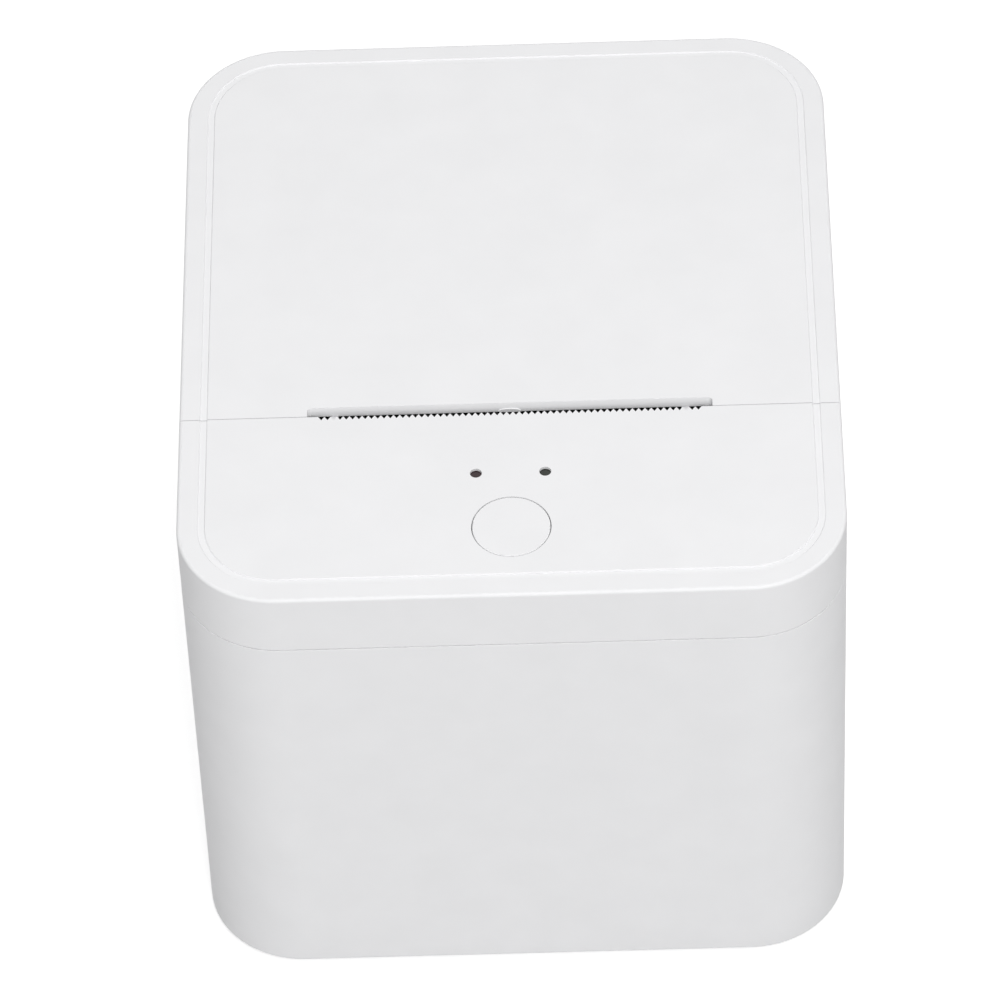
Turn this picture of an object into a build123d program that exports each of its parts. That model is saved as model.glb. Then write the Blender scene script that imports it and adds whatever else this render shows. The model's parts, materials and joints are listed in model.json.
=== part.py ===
from build123d import *
import os
from math import atan2, cos, pi, radians, sin, sqrt, tan

# A desktop receipt printer for 58 mm paper, in millimetres.
# X runs to the right, Y to the back, Z up. The origin is on the table, under the middle of the case.

# Case
CASE_WIDTH = 100.0
CASE_DEPTH = 116.0
CASE_HEIGHT = 86.0
CORNER_RADIUS = 15.0
FOOT_STAND = 1.5
WALL = 2.2
ROOF = 2.2
TOP_EDGE_RADIUS = 0.5
BOTTOM_EDGE_RADIUS = 0.5

# The joint between the top pieces and the lower body, and the tongue that keeps it in line
BAND_HEIGHT = 11.3
PARTING_GAP = 0.17
BAND_EDGE_RADIUS = 0.1
BODY_EDGE_CHAMFER = 0.05
TONGUE_THICKNESS = 0.95
TONGUE_HEIGHT = 1.2
TONGUE_CLEARANCE = 0.15

# The seam across the top, between front cover and lid
SEAM_FROM_FRONT = 36.7
SEAM_GAP = 0.14
SEAM_LEDGE_REACH = 2.0
SEAM_LEDGE_WIDTH = 4.4
SEAM_LEDGE_SIDE_GAP = 1.0
SEAM_LEDGE_THICKNESS = 1.2
SEAM_LEDGE_CLEARANCE = 0.3

# The shallow groove round the top, and the step up to the field inside it
GROOVE_INSET = 3.1
GROOVE_WIDTH = 1.05
GROOVE_DEPTH = 0.24
GROOVE_SLOPE = 0.15
FIELD_STEP = 0.06

# Paper slot and tear edge
SLOT_SIDE_PLAY = 1.9
SLOT_RECESS = 1.75
SLOT_WALL_DEPTH = 1.35
SLOT_WALL_LEAN = 30
SLOT_EDGE_THICKNESS = 0.2
SLOT_UNDERCUT = 1.2
SLOT_CORNER_RADIUS = 0.65
LIP_THICKNESS = 1.0
LIP_CHAMFER = 2.6
NOTCH_PITCH = 0.95
NOTCH_DEPTH = 0.7
GUIDE_RIB_FROM_END = 4.1
GUIDE_RIB_WIDTH = 1.1
GUIDE_RIB_DROP = 0.15
GUIDE_RIB_HEIGHT = 2.5
GUIDE_RIB_LENGTH = 3.5
GUIDE_RIB_GAP = 0.35
WALL_PAD_WIDTH = 3.4
WALL_PAD_HEIGHT = 0.5
WALL_PAD_RISE = 0.12

# Feed button and lamp windows
BUTTON_FROM_FRONT = 13.43
BUTTON_RADIUS = 5.85
BUTTON_GAP = 0.14
BUTTON_EDGE_RADIUS = 0.12
BUTTON_FLANGE = 1.3
BUTTON_FLANGE_THICKNESS = 1.2
BUTTON_FLANGE_GAP = 0.1
BUTTON_STEM_RADIUS = 2.2
BUTTON_TRAVEL = 0.5
LAMP_FROM_FRONT = 24.3
LAMP_SPACING = 10.4
LAMP_HOLE_RADIUS = 0.9
LENS_CLEARANCE = 0.05
LENS_RECESS = 0.4
LENS_FLANGE_RADIUS = 2.0
LENS_FLANGE_THICKNESS = 0.8
LENS_ABOVE_LAMP = 0.3

# Hinge: a bead along the lid's rear edge turns about pins held by two knuckles
HINGE_RADIUS = 2.5
HINGE_CLEARANCE = 0.3
HINGE_PIN_RADIUS = 1.2
HINGE_PIN_CLEARANCE = 0.05
HINGE_PIN_LENGTH = 14.0
KNUCKLE_WIDTH = 6.0
KNUCKLE_X = 27.0
KNUCKLE_ROOT_DEPTH = 2.0
BEAD_INTO_CORNER = 8.2

# Fasteners
SCREW_RADIUS = 1.25
SCREW_HEAD_RADIUS = 2.3
SCREW_HEAD_HEIGHT = 1.5
SCREW_LENGTH = 8.0
SMALL_SCREW_RADIUS = 0.9
SMALL_SCREW_HEAD_RADIUS = 1.7
SMALL_SCREW_HEAD_HEIGHT = 1.1
SMALL_SCREW_LENGTH = 5.0
CROSS_WIDTH = 0.5
CROSS_DEPTH = 0.6
BOSS_RADIUS = 3.4
SMALL_BOSS_RADIUS = 2.2
HEAD_RECESS_CLEARANCE = 0.3
GUSSET_THICKNESS = 2.4
SCREW_BLOCK_WIDTH = 6.0

# Base
BASE_THICKNESS = 2.2
BASE_CLEARANCE = 0.15
BASE_BOSS_INSET = 10.0
BASE_BOSS_HEIGHT = 12.0
FOOT_RADIUS = 6.0
FOOT_RECESS = 0.8
FOOT_FROM_SIDE = 20.0
FOOT_FROM_END = 14.0
FOOT_EDGE_RADIUS = 0.4
VENT_COUNT = 9
VENT_PITCH = 4.5
VENT_WIDTH = 2.0
VENT_LENGTH = 24.0
VENT_Y = -14.0

# Paper bin and its deck
PAPER_WIDTH = 57.5
BIN_SIDE_PLAY = 1.25
BIN_WALL = 1.6
BIN_BEHIND_PLATEN = 6.3
BIN_TO_REAR_WALL = 3.6
BIN_ABOVE_SOCKET = 0.8
BIN_CRADLE_RADIUS = 8.0
DECK_THICKNESS = 1.5
DECK_BELOW_PARTING = 3.2
DECK_CLEARANCE = 0.25
DECK_WING_REACH = 11.0
DECK_WELL_REACH = 3.0
DECK_WELL_SIDE_GAP = 1.5
DECK_SCREW_FROM_SIDE = 11.0
DECK_SCREW_FROM_REAR = 14.0
DECK_BOSS_HEIGHT = 10.0

# Platen, in the lid
PLATEN_RADIUS = 5.0
PLATEN_PAST_PAPER = 0.25
PLATEN_SHAFT_RADIUS = 2.5
PLATEN_TO_HEAD = 0.3
PLATEN_BELOW_PARTING = 4.2
SHAFT_PAST_END = 0.8
SHAFT_CHAMFER = 0.3
BUSH_RADIUS = 4.0
BUSH_CLEARANCE = 0.06
BUSH_LENGTH = 4.6
BUSH_SLOT_CLEARANCE = 0.3
ARM_THICKNESS = 2.0
ARM_GAP = 2.3
ARM_HALF_WIDTH = 5.4
ARM_TOE = 2.5
ARM_TOE_DROP = 1.5
NECK_CLEARANCE = 1.9

# Gears, in one plane outside the right frame plate
GEAR_MODULE = 0.5
GEAR_WIDTH = 3.0
GEAR_ADDENDUM = 0.8
GEAR_DEDENDUM = 1.3
GEAR_BACKLASH = 0.14
PRESSURE_ANGLE = 20 * pi / 180
PLATEN_TEETH = 20
IDLER_TEETH = 36
PINION_TEETH = 14
GEAR_TO_FRAME = 1.7
IDLER_STUD_RADIUS = 1.5
IDLER_SHOULDER = 1.0
IDLER_END_CLEARANCE = 0.3
GEAR_FLANK_STEPS = 4
RUNNING_CLEARANCE = 0.05
MOTOR_LEAN = atan2(4, 3)

# Stepper motor
MOTOR_RADIUS = 10.0
MOTOR_LENGTH = 14.5
MOTOR_FLANGE = 1.0
MOTOR_SCREW_SPACING = 25.0
MOTOR_EAR_RADIUS = 3.2
MOTOR_SHAFT_RADIUS = 1.0
MOTOR_BOSS_RADIUS = 3.0
MOTOR_EDGE_RADIUS = 0.8
MOTOR_BORE_FROM_REAR = 2.0
MOTOR_SHAFT_END_GAP = 0.3

# Mechanism frame
PLATE_THICKNESS = 1.5
PLATE_TO_ARM = 0.9
FRAME_BELOW_PLATEN = 30.0
FRAME_ABOVE_PLATEN = 4.0
FRAME_BEFORE_PLATEN = 27.0
FRAME_BEHIND_PLATEN = 9.8
FRAME_FOOT_HEIGHT = 8.0
FRAME_NECK_HEIGHT = 14.0
FRAME_BEHIND_BUSH = 2.0
FRAME_BEFORE_SINK = 3.0
FRAME_FRONT_DROP = 3.0
FRAME_TO_SIDE_WALL = 2.1
FRAME_BLOCK_HEIGHT = 14.0
FRAME_FLANGE_THICKNESS = 2.0
FRAME_FLANGE_LENGTH = 8.0
FRAME_WALL_FROM_FRONT = 2.0
SHELF_THICKNESS = 1.5
SHELF_DROP = 8.5
SHELF_TO_HEAD = 0.4
SHELF_TO_BIN = 0.7

# Print head
HEAD_PAST_PLATEN = 1.0
HEAD_BOARD_THICKNESS = 1.1
HEAD_BELOW_PLATEN = 8.5
HEAD_ABOVE_PLATEN = 3.5
SINK_THICKNESS = 4.0
SINK_BELOW_PLATEN = 13.0
PIVOT_RADIUS = 1.0
PIVOT_PAST_FRAME = 0.6
PIVOT_ABOVE_SINK_BOTTOM = 2.2
SINK_SLOT_COUNT = 9
SINK_SLOT_PITCH = 6.0
SINK_SLOT_WIDTH = 2.0
SINK_SLOT_DEPTH = 1.4
SINK_SLOT_ABOVE_PIVOT = 3.0
SPRING_RADIUS = 2.6
SPRING_WIRE_RADIUS = 0.35
SPRING_TURNS = 5
SPRING_X = 18.0
SPRING_BELOW_PLATEN = 2.5
SPRING_END_CLEARANCE = 0.1

# Boards and what they carry
BOARD_THICKNESS = 1.6
MAIN_BOARD_STAND = 4.3
MAIN_BOARD_TO_BOSS = 3.6
MAIN_BOARD_TO_PANEL = 1.2
MAIN_BOARD_LENGTH = 83.0
MAIN_POST_FROM_SIDE = 4.0
MAIN_POST_FROM_FRONT = 5.0
MAIN_POST_FROM_REAR = 15.0
CHIP_SIZE = 12.0
CHIP_THICKNESS = 1.4
CAPACITOR_RADIUS = 3.15
CAPACITOR_HEIGHT = 9.0
CAPACITOR_X = 20.0
BUTTON_BOARD_BELOW_ROOF = 8.9
BUTTON_BOARD_WIDTH = 30.0
BUTTON_BOARD_FRONT = 4.5
BUTTON_BOARD_REAR = 3.0
BUTTON_POST_X = 11.0
SWITCH_SIZE = 6.0
SWITCH_HEIGHT = 3.4
PLUNGER_RADIUS = 1.7
PLUNGER_HEIGHT = 1.2
PLUNGER_DEPTH = 1.0
PLUNGER_END_GAP = 0.2
PLUNGER_CLEARANCE = 0.1
LAMP_LENGTH = 3.2
LAMP_WIDTH = 1.6
LAMP_HEIGHT = 1.2

# Socket panel, sunk into the back
PANEL_WIDTH = 62.0
PANEL_BELOW_BOARD = 1.5
PANEL_ABOVE_SOCKET = 2.9
PANEL_SINK = 1.6
PANEL_CORNER_RADIUS = 1.5
POWER_SOCKET_X = 22.0
POWER_SOCKET_WIDTH = 9.0
POWER_SOCKET_HEIGHT = 11.0
POWER_SOCKET_LENGTH = 13.5
POWER_HOLE_RADIUS = 3.2
POWER_HOLE_DEPTH = 9.5
POWER_PIN_RADIUS = 1.0
POWER_PIN_SINK = 1.0
POWER_SOCKET_SINK = 0.2
DATA_SOCKET_X = 4.0
DATA_SOCKET_WIDTH = 12.0
DATA_SOCKET_HEIGHT = 10.8
DATA_SOCKET_LENGTH = 16.0
DATA_SHELL = 0.8
DATA_HOLE_WIDTH = 8.6
DATA_HOLE_HEIGHT = 7.9
DATA_HOLE_DEPTH = 9.0
DATA_TONGUE_WIDTH = 5.6
DATA_TONGUE_HEIGHT = 3.2
DATA_SOCKET_RISE = 0.3
SOCKET_CLEARANCE = 0.2
SWITCH_X = -19.0
SWITCH_BEZEL_WIDTH = 15.0
SWITCH_BEZEL_HEIGHT = 10.6
SWITCH_BEZEL_THICKNESS = 0.9
SWITCH_BODY_WIDTH = 13.0
SWITCH_BODY_HEIGHT = 8.8
SWITCH_BODY_LENGTH = 11.0
SWITCH_CORNER_RADIUS = 1.0
ROCKER_WIDTH = 10.4
ROCKER_HEIGHT = 6.6
ROCKER_RISE = 2.65
ROCKER_DIP = 0.5
ROCKER_TILT = 8.0
ROCKER_GAP = 0.5
ROCKER_SIDE_GAP = 0.3
ROCKER_WELL_DEPTH = 3.5
ROCKER_KEEL_DEPTH = 1.6
ROCKER_KEEL_WIDTH = 2.8
ROCKER_SHOULDER = 0.6
ROCKER_TAPER = 0.2
ROCKER_PIN_RADIUS = 0.8
ROCKER_PIN_LENGTH = 0.8

# Lid liner
LINER_THICKNESS = 1.8
LINER_BELOW_ROOF = 4.5
LINER_SIDE_GAP = 2.8
LINER_REAR_GAP = 4.8
LINER_BEHIND_BIN_FRONT = 1.5
LINER_CORNER_RADIUS = 8.0
LINER_SCREW_FROM_SIDE = 13.0
LINER_SCREW_FROM_FRONT = 7.0
LINER_SCREW_FROM_REAR = 15.0
LINER_NECK_OVERLAP = 5.0
LINER_RIB_HEIGHT = 1.6
LINER_RIB_THICKNESS = 1.2
LINER_RIB_END_GAP = 6.0
LINER_RIB_COUNT = 5
LINER_RIB_PITCH = 12.0

# Front cover screws
COVER_SCREW_FROM_SIDE = 11.5
COVER_SCREW_FROM_FRONT = 10.5
COVER_TAB_BELOW_PARTING = 10.2
COVER_TAB_THICKNESS = 2.5

# Latch springs beside the bush slots
LATCH_THICKNESS = 0.5
LATCH_WIDTH = 1.4
LATCH_HEIGHT = 11.0
LATCH_GAP = 0.3

# Paper sensor, in the shelf under the platen
SENSOR_LENGTH = 5.0
SENSOR_WIDTH = 4.0
SENSOR_HEIGHT = 2.6
SENSOR_RISE = 0.2
SENSOR_X = -12.0

# Places that follow from the sizes above
FRONT_Y = -CASE_DEPTH / 2
REAR_Y = CASE_DEPTH / 2
SIDE_X = CASE_WIDTH / 2
CASE_BOTTOM_Z = FOOT_STAND
TOP_Z = CASE_BOTTOM_Z + CASE_HEIGHT
ROOF_Z = TOP_Z - ROOF
PARTING_Z = TOP_Z - BAND_HEIGHT
SEAM_Y = FRONT_Y + SEAM_FROM_FRONT
COVER_EDGE_Y = SEAM_Y - SEAM_GAP / 2
LID_EDGE_Y = SEAM_Y + SEAM_GAP / 2
SLOT_WALL_Y = SEAM_Y + SLOT_RECESS
SLOT_WALL_RADIUS = SLOT_WALL_DEPTH / sin(radians(SLOT_WALL_LEAN))
SLOT_EDGE_Y = SLOT_WALL_Y - SLOT_WALL_RADIUS * (1 - cos(radians(SLOT_WALL_LEAN)))
SLOT_EDGE_Z = TOP_Z - SLOT_WALL_DEPTH
SLOT_WIDTH = PAPER_WIDTH + 2 * SLOT_SIDE_PLAY
TONGUE_INSET = WALL - TONGUE_THICKNESS
FIELD_INSET = GROOVE_INSET + GROOVE_WIDTH
BEAD_HALF_LENGTH = SIDE_X - CORNER_RADIUS + BEAD_INTO_CORNER
HINGE_Y = REAR_Y - HINGE_RADIUS
HINGE_Z = PARTING_Z
HINGE_SEAT_Z = HINGE_Z - HINGE_RADIUS - HINGE_CLEARANCE
KNUCKLE_NOTCH = HINGE_RADIUS + 2 * HINGE_CLEARANCE
BUTTON_Y = FRONT_Y + BUTTON_FROM_FRONT
LAMP_Y = FRONT_Y + LAMP_FROM_FRONT
BASE_TOP_Z = CASE_BOTTOM_Z + BASE_THICKNESS
BASE_BOSS_X = SIDE_X - BASE_BOSS_INSET
BASE_BOSS_Y = REAR_Y - BASE_BOSS_INSET
DECK_TOP_Z = PARTING_Z - DECK_BELOW_PARTING
DECK_BOTTOM_Z = DECK_TOP_Z - DECK_THICKNESS
BIN_HALF_WIDTH = PAPER_WIDTH / 2 + BIN_SIDE_PLAY
HEAD_FACE_Y = SEAM_Y
PLATEN_Y = HEAD_FACE_Y + PLATEN_TO_HEAD + PLATEN_RADIUS
PLATEN_Z = PARTING_Z - PLATEN_BELOW_PARTING
PLATEN_LENGTH = PAPER_WIDTH + 2 * PLATEN_PAST_PAPER
HEAD_HALF_WIDTH = PLATEN_LENGTH / 2 + HEAD_PAST_PLATEN
NOTCH_COUNT = round(PLATEN_LENGTH / NOTCH_PITCH)
ARM_X = PLATEN_LENGTH / 2 + ARM_GAP
PLATE_X = ARM_X + ARM_THICKNESS + PLATE_TO_ARM
PLATE_OUTER_X = PLATE_X + PLATE_THICKNESS
GEAR_X = PLATE_OUTER_X + GEAR_TO_FRAME
GEAR_END_X = GEAR_X + GEAR_WIDTH
FRAME_BOTTOM_Z = PLATEN_Z - FRAME_BELOW_PLATEN
FRAME_TOP_Z = PLATEN_Z + FRAME_ABOVE_PLATEN
FRAME_FRONT_Y = PLATEN_Y - FRAME_BEFORE_PLATEN
FRAME_REAR_Y = PLATEN_Y + FRAME_BEHIND_PLATEN
FRAME_FLANGE_X = SIDE_X - WALL - FRAME_TO_SIDE_WALL
IDLER_Y = PLATEN_Y
IDLER_Z = PLATEN_Z - GEAR_MODULE * (PLATEN_TEETH + IDLER_TEETH) / 2
MOTOR_DISTANCE = GEAR_MODULE * (IDLER_TEETH + PINION_TEETH) / 2
MOTOR_Y = IDLER_Y - MOTOR_DISTANCE * cos(MOTOR_LEAN)
MOTOR_Z = IDLER_Z - MOTOR_DISTANCE * sin(MOTOR_LEAN)
HEAD_TOP_Z = PLATEN_Z + HEAD_ABOVE_PLATEN
SINK_BOTTOM_Z = PLATEN_Z - SINK_BELOW_PLATEN
SINK_REAR_Y = HEAD_FACE_Y - HEAD_BOARD_THICKNESS
SINK_FRONT_Y = SINK_REAR_Y - SINK_THICKNESS
PIVOT_Y = (SINK_REAR_Y + SINK_FRONT_Y) / 2
PIVOT_Z = SINK_BOTTOM_Z + PIVOT_ABOVE_SINK_BOTTOM
FRAME_WALL_Y = FRAME_FRONT_Y + FRAME_WALL_FROM_FRONT
SHELF_Z = PLATEN_Z - SHELF_DROP
LINER_TOP_Z = ROOF_Z - LINER_BELOW_ROOF
LINER_BOTTOM_Z = LINER_TOP_Z - LINER_THICKNESS
PANEL_Y = REAR_Y - PANEL_SINK
PANEL_BACK_Y = PANEL_Y - WALL
MAIN_BOARD_Z = BASE_TOP_Z + MAIN_BOARD_STAND
MAIN_BOARD_TOP_Z = MAIN_BOARD_Z + BOARD_THICKNESS
MAIN_BOARD_HALF = BASE_BOSS_X - BOSS_RADIUS - MAIN_BOARD_TO_BOSS
MAIN_BOARD_REAR_Y = PANEL_BACK_Y - MAIN_BOARD_TO_PANEL
MAIN_BOARD_FRONT_Y = MAIN_BOARD_REAR_Y - MAIN_BOARD_LENGTH
CHIP_Y = (MAIN_BOARD_REAR_Y + MAIN_BOARD_FRONT_Y) / 2
PANEL_BOTTOM_Z = MAIN_BOARD_Z - PANEL_BELOW_BOARD
PANEL_TOP_Z = MAIN_BOARD_TOP_Z + POWER_SOCKET_HEIGHT + PANEL_ABOVE_SOCKET
SWITCH_Z = (PANEL_BOTTOM_Z + PANEL_TOP_Z) / 2
BIN_FRONT_Y = PLATEN_Y + BIN_BEHIND_PLATEN
BIN_REAR_Y = REAR_Y - WALL - BIN_TO_REAR_WALL
BIN_FLOOR_Z = MAIN_BOARD_TOP_Z + POWER_SOCKET_HEIGHT + BIN_ABOVE_SOCKET
BUTTON_BOARD_Z = ROOF_Z - BUTTON_BOARD_BELOW_ROOF
BUTTON_BOARD_TOP_Z = BUTTON_BOARD_Z + BOARD_THICKNESS
SWITCH_TOP_Z = BUTTON_BOARD_TOP_Z + SWITCH_HEIGHT
COVER_TAB_Z = PARTING_Z - COVER_TAB_BELOW_PARTING

# How far joined pieces run into each other, how far a cut runs past the face it opens,
# and a length beyond every part of the printer
OVERLAP = 0.5
PAST = 1.0
ALL = 400.0


def block(x0, x1, y0, y1, z0, z1):
    """A box between two corners."""
    box = Box(x1 - x0, y1 - y0, z1 - z0)
    return Pos((x0 + x1) / 2, (y0 + y1) / 2, (z0 + z1) / 2) * box


def rod_x(y, z, radius, x0, x1):
    """A round bar along X."""
    return Pos((x0 + x1) / 2, y, z) * Rot(0, 90, 0) * Cylinder(radius, x1 - x0)


def rod_y(x, z, radius, y0, y1):
    """A round bar along Y."""
    return Pos(x, (y0 + y1) / 2, z) * Rot(90, 0, 0) * Cylinder(radius, y1 - y0)


def rod_z(x, y, radius, z0, z1):
    """A round bar along Z."""
    return Pos(x, y, (z0 + z1) / 2) * Cylinder(radius, z1 - z0)


def case_slab(inset, z0, z1):
    """The case's outline, drawn in by inset, between two heights."""
    face = RectangleRounded(
        CASE_WIDTH - 2 * inset, CASE_DEPTH - 2 * inset, CORNER_RADIUS - inset
    )
    return Pos(0, 0, z0) * extrude(face, z1 - z0)


def prism_x(points, x0, x1):
    """A prism along X over a polygon of (y, z) points."""
    face = Plane.YZ * Polygon(*points, align=None)
    return Pos(x0, 0, 0) * extrude(face, x1 - x0)


def join(solids):
    """Separate solids kept together as one group."""
    return Compound(children=[solid for group in solids for solid in group.solids()])


def fuse(pieces):
    """One body made of pieces that overlap."""
    body = pieces[0]
    for piece in pieces[1:]:
        body = body + piece
    return body


def cut(body, tools):
    """A body less each of the tools."""
    for tool in tools:
        body = body - tool
    return body


def four_corners(x, y):
    """Four places, mirrored about both axes."""
    return [(sx * x, sy * y) for sx in (-1, 1) for sy in (-1, 1)]


def screw(place, direction, radius, length, head_radius, head_height):
    """A pan head screw with its head's seat at place and its shank along direction."""
    head = rod_z(0, 0, head_radius, -head_height, 0)
    shank = rod_z(0, 0, radius, 0, length)
    body = head + shank
    for angle in (0, 90):
        bar = Box(head_radius * 1.3, CROSS_WIDTH, CROSS_DEPTH * 2)
        body = body - Pos(0, 0, -head_height) * Rot(0, 0, angle) * bar
    return Plane(origin=place, z_dir=direction) * body


def case_screw(place, direction):
    return screw(
        place, direction, SCREW_RADIUS, SCREW_LENGTH, SCREW_HEAD_RADIUS, SCREW_HEAD_HEIGHT
    )


def small_screw(place, direction):
    return screw(
        place,
        direction,
        SMALL_SCREW_RADIUS,
        SMALL_SCREW_LENGTH,
        SMALL_SCREW_HEAD_RADIUS,
        SMALL_SCREW_HEAD_HEIGHT,
    )


def top_edges(body):
    return body.faces().sort_by(Axis.Z)[-1].edges()


def bottom_edges(body):
    return body.faces().sort_by(Axis.Z)[0].edges()


def tongue_groove():
    """The space inside the top pieces' lower edge that the tongue stands in."""
    top = PARTING_Z + TONGUE_HEIGHT + TONGUE_CLEARANCE
    return case_slab(TONGUE_INSET - TONGUE_CLEARANCE, PARTING_Z - PAST, top)


def top_shell():
    """Front cover and lid in one, before the seam parts them."""
    lower_z = PARTING_Z + PARTING_GAP / 2
    groove_z = TOP_Z - GROOVE_DEPTH
    shell = case_slab(0, lower_z, TOP_Z - FIELD_STEP)
    shell = fillet(top_edges(shell), TOP_EDGE_RADIUS)
    shell = fillet(bottom_edges(shell), BAND_EDGE_RADIUS)
    groove = case_slab(GROOVE_INSET, groove_z, TOP_Z - FIELD_STEP)
    groove = chamfer(bottom_edges(groove), GROOVE_SLOPE)
    field = case_slab(FIELD_INSET, ROOF_Z, TOP_Z)
    field = chamfer(top_edges(field), GROOVE_SLOPE)
    shell = shell - groove + field
    shell = shell - case_slab(WALL, lower_z - PAST, ROOF_Z)
    return shell - tongue_groove()


def tear_notches():
    """The V-shaped notches of the tear edge, as one cutting tool."""
    half = NOTCH_PITCH / 2
    start_x = -NOTCH_PITCH * NOTCH_COUNT / 2
    points = [(start_x, PAST), (start_x, 0)]
    for index in range(NOTCH_COUNT):
        left = start_x + index * NOTCH_PITCH
        points.append((left + half, -NOTCH_DEPTH))
        points.append((left + 2 * half, 0))
    points.append((-start_x, PAST))
    face = Polygon(*points, align=None)
    return Pos(0, COVER_EDGE_Y, ROOF_Z - PAST) * extrude(face, ROOF + 2 * PAST)


def button_posts():
    """Posts under the front cover that carry the button board."""
    posts = []
    for sx in (-1, 1):
        x = sx * BUTTON_POST_X
        posts.append(rod_z(x, BUTTON_Y, SMALL_BOSS_RADIUS, BUTTON_BOARD_TOP_Z, ROOF_Z + OVERLAP))
    return posts


def cover_screw_places():
    x = SIDE_X - COVER_SCREW_FROM_SIDE
    return [(sx * x, FRONT_Y + COVER_SCREW_FROM_FRONT) for sx in (-1, 1)]


def seam_ledges():
    """Two ledges at the sides of the front cover that reach under the lid's front edge."""
    ledge_top = ROOF_Z - SEAM_LEDGE_CLEARANCE
    ledge_bottom = ledge_top - SEAM_LEDGE_THICKNESS
    outer = SIDE_X - WALL - SEAM_LEDGE_SIDE_GAP
    rear = LID_EDGE_Y + SEAM_LEDGE_REACH
    front = COVER_EDGE_Y - SEAM_LEDGE_REACH
    ledges = []
    for sx in (-1, 1):
        x0, x1 = sorted((sx * (outer - SEAM_LEDGE_WIDTH), sx * outer))
        ledges.append(block(x0, x1, front, rear, ledge_bottom, ledge_top))
        ledges.append(block(x0, x1, front, COVER_EDGE_Y, ledge_bottom, ROOF_Z + OVERLAP))
    return ledges


def make_front_cover():
    keep = block(-ALL, ALL, -ALL, COVER_EDGE_Y, 0, ALL)
    cover = top_shell() & keep
    lip_half = SLOT_WIDTH / 2 + LIP_CHAMFER
    wedge = [
        (COVER_EDGE_Y + PAST, TOP_Z - LIP_THICKNESS),
        (COVER_EDGE_Y, TOP_Z - LIP_THICKNESS),
        (COVER_EDGE_Y - LIP_CHAMFER, ROOF_Z),
        (COVER_EDGE_Y - LIP_CHAMFER, ROOF_Z - PAST),
        (COVER_EDGE_Y + PAST, ROOF_Z - PAST),
    ]
    cover = cut(cover, [prism_x(wedge, -lip_half, lip_half), tear_notches()])
    pieces = [cover] + seam_ledges() + button_posts()
    for x, y in cover_screw_places():
        pieces.append(rod_z(x, y, BOSS_RADIUS, COVER_TAB_Z + COVER_TAB_THICKNESS, ROOF_Z + OVERLAP))
    cover = fuse(pieces)
    tools = [rod_z(0, BUTTON_Y, BUTTON_RADIUS + BUTTON_GAP, ROOF_Z - PAST, ALL)]
    for sx in (-1, 1):
        x = sx * LAMP_SPACING / 2
        tools.append(rod_z(x, LAMP_Y, LAMP_HOLE_RADIUS, ROOF_Z - PAST, ALL))
        post_x = sx * BUTTON_POST_X
        tip_z = BUTTON_BOARD_Z + SMALL_SCREW_LENGTH
        tools.append(rod_z(post_x, BUTTON_Y, SMALL_SCREW_RADIUS, BUTTON_BOARD_Z, tip_z))
    for x, y in cover_screw_places():
        tools.append(rod_z(x, y, SCREW_RADIUS, COVER_TAB_Z, COVER_TAB_Z + SCREW_LENGTH))
    return cut(cover, tools)


def liner_screw_places():
    x = SIDE_X - LINER_SCREW_FROM_SIDE
    front = BIN_FRONT_Y + LINER_BEHIND_BIN_FRONT + LINER_SCREW_FROM_FRONT
    rear = REAR_Y - LINER_SCREW_FROM_REAR
    return [(sx * x, y) for sx in (-1, 1) for y in (front, rear)]


def hinge_bead():
    """The round bead along the lid's rear edge, trimmed to the case's outline."""
    bead = rod_x(HINGE_Y, HINGE_Z, HINGE_RADIUS, -BEAD_HALF_LENGTH, BEAD_HALF_LENGTH)
    return bead & case_slab(0, HINGE_Z - HINGE_RADIUS - PAST, HINGE_Z + HINGE_RADIUS + PAST)


def slot_wall_point(lean):
    """A point of the slot's wall, where the wall leans back by so many degrees."""
    angle = radians(lean)
    y = SLOT_EDGE_Y + SLOT_WALL_RADIUS * (1 - cos(angle))
    return (y, SLOT_EDGE_Z + SLOT_WALL_RADIUS * sin(angle))


def slot_recess():
    """The recess above the gap: its wall is upright at its lower edge and leans back as it rises."""
    half = SLOT_WIDTH / 2
    front = LID_EDGE_Y - PAST
    low = slot_wall_point(0)
    high = slot_wall_point(2 * SLOT_WALL_LEAN)
    wall = ThreePointArc(low, slot_wall_point(SLOT_WALL_LEAN), high)
    rest = Polyline(high, (front, high[1]), (front, low[1]), low)
    recess = Pos(-half, 0, 0) * extrude(Plane.YZ * make_face([wall, rest]), 2 * half)
    return fillet(recess.edges().filter_by(GeomType.CIRCLE), SLOT_CORNER_RADIUS)


def paper_gap():
    """The gap for the paper, undercut behind the thin lower edge of the slot's wall."""
    half = SLOT_WIDTH / 2
    under_z = SLOT_EDGE_Z - SLOT_EDGE_THICKNESS
    outline = [
        (LID_EDGE_Y - PAST, 0),
        (SLOT_EDGE_Y + SLOT_UNDERCUT, 0),
        (SLOT_EDGE_Y + SLOT_UNDERCUT, under_z - SLOT_UNDERCUT),
        (SLOT_EDGE_Y, under_z),
        (SLOT_EDGE_Y, SLOT_EDGE_Z),
        (LID_EDGE_Y - PAST, SLOT_EDGE_Z),
    ]
    return prism_x(outline, -half, half)


def guide_ribs():
    """Two ribs under the lid's front edge that hold the paper up to the tear edge."""
    ribs = []
    front = COVER_EDGE_Y + GUIDE_RIB_GAP
    for sx in (-1, 1):
        x = sx * (SLOT_WIDTH / 2 - GUIDE_RIB_FROM_END)
        x0 = x - GUIDE_RIB_WIDTH / 2
        x1 = x + GUIDE_RIB_WIDTH / 2
        top = SLOT_EDGE_Z - SLOT_EDGE_THICKNESS - GUIDE_RIB_DROP
        ribs.append(block(x0, x1, front, front + GUIDE_RIB_LENGTH, top - GUIDE_RIB_HEIGHT, top))
    return ribs


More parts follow.
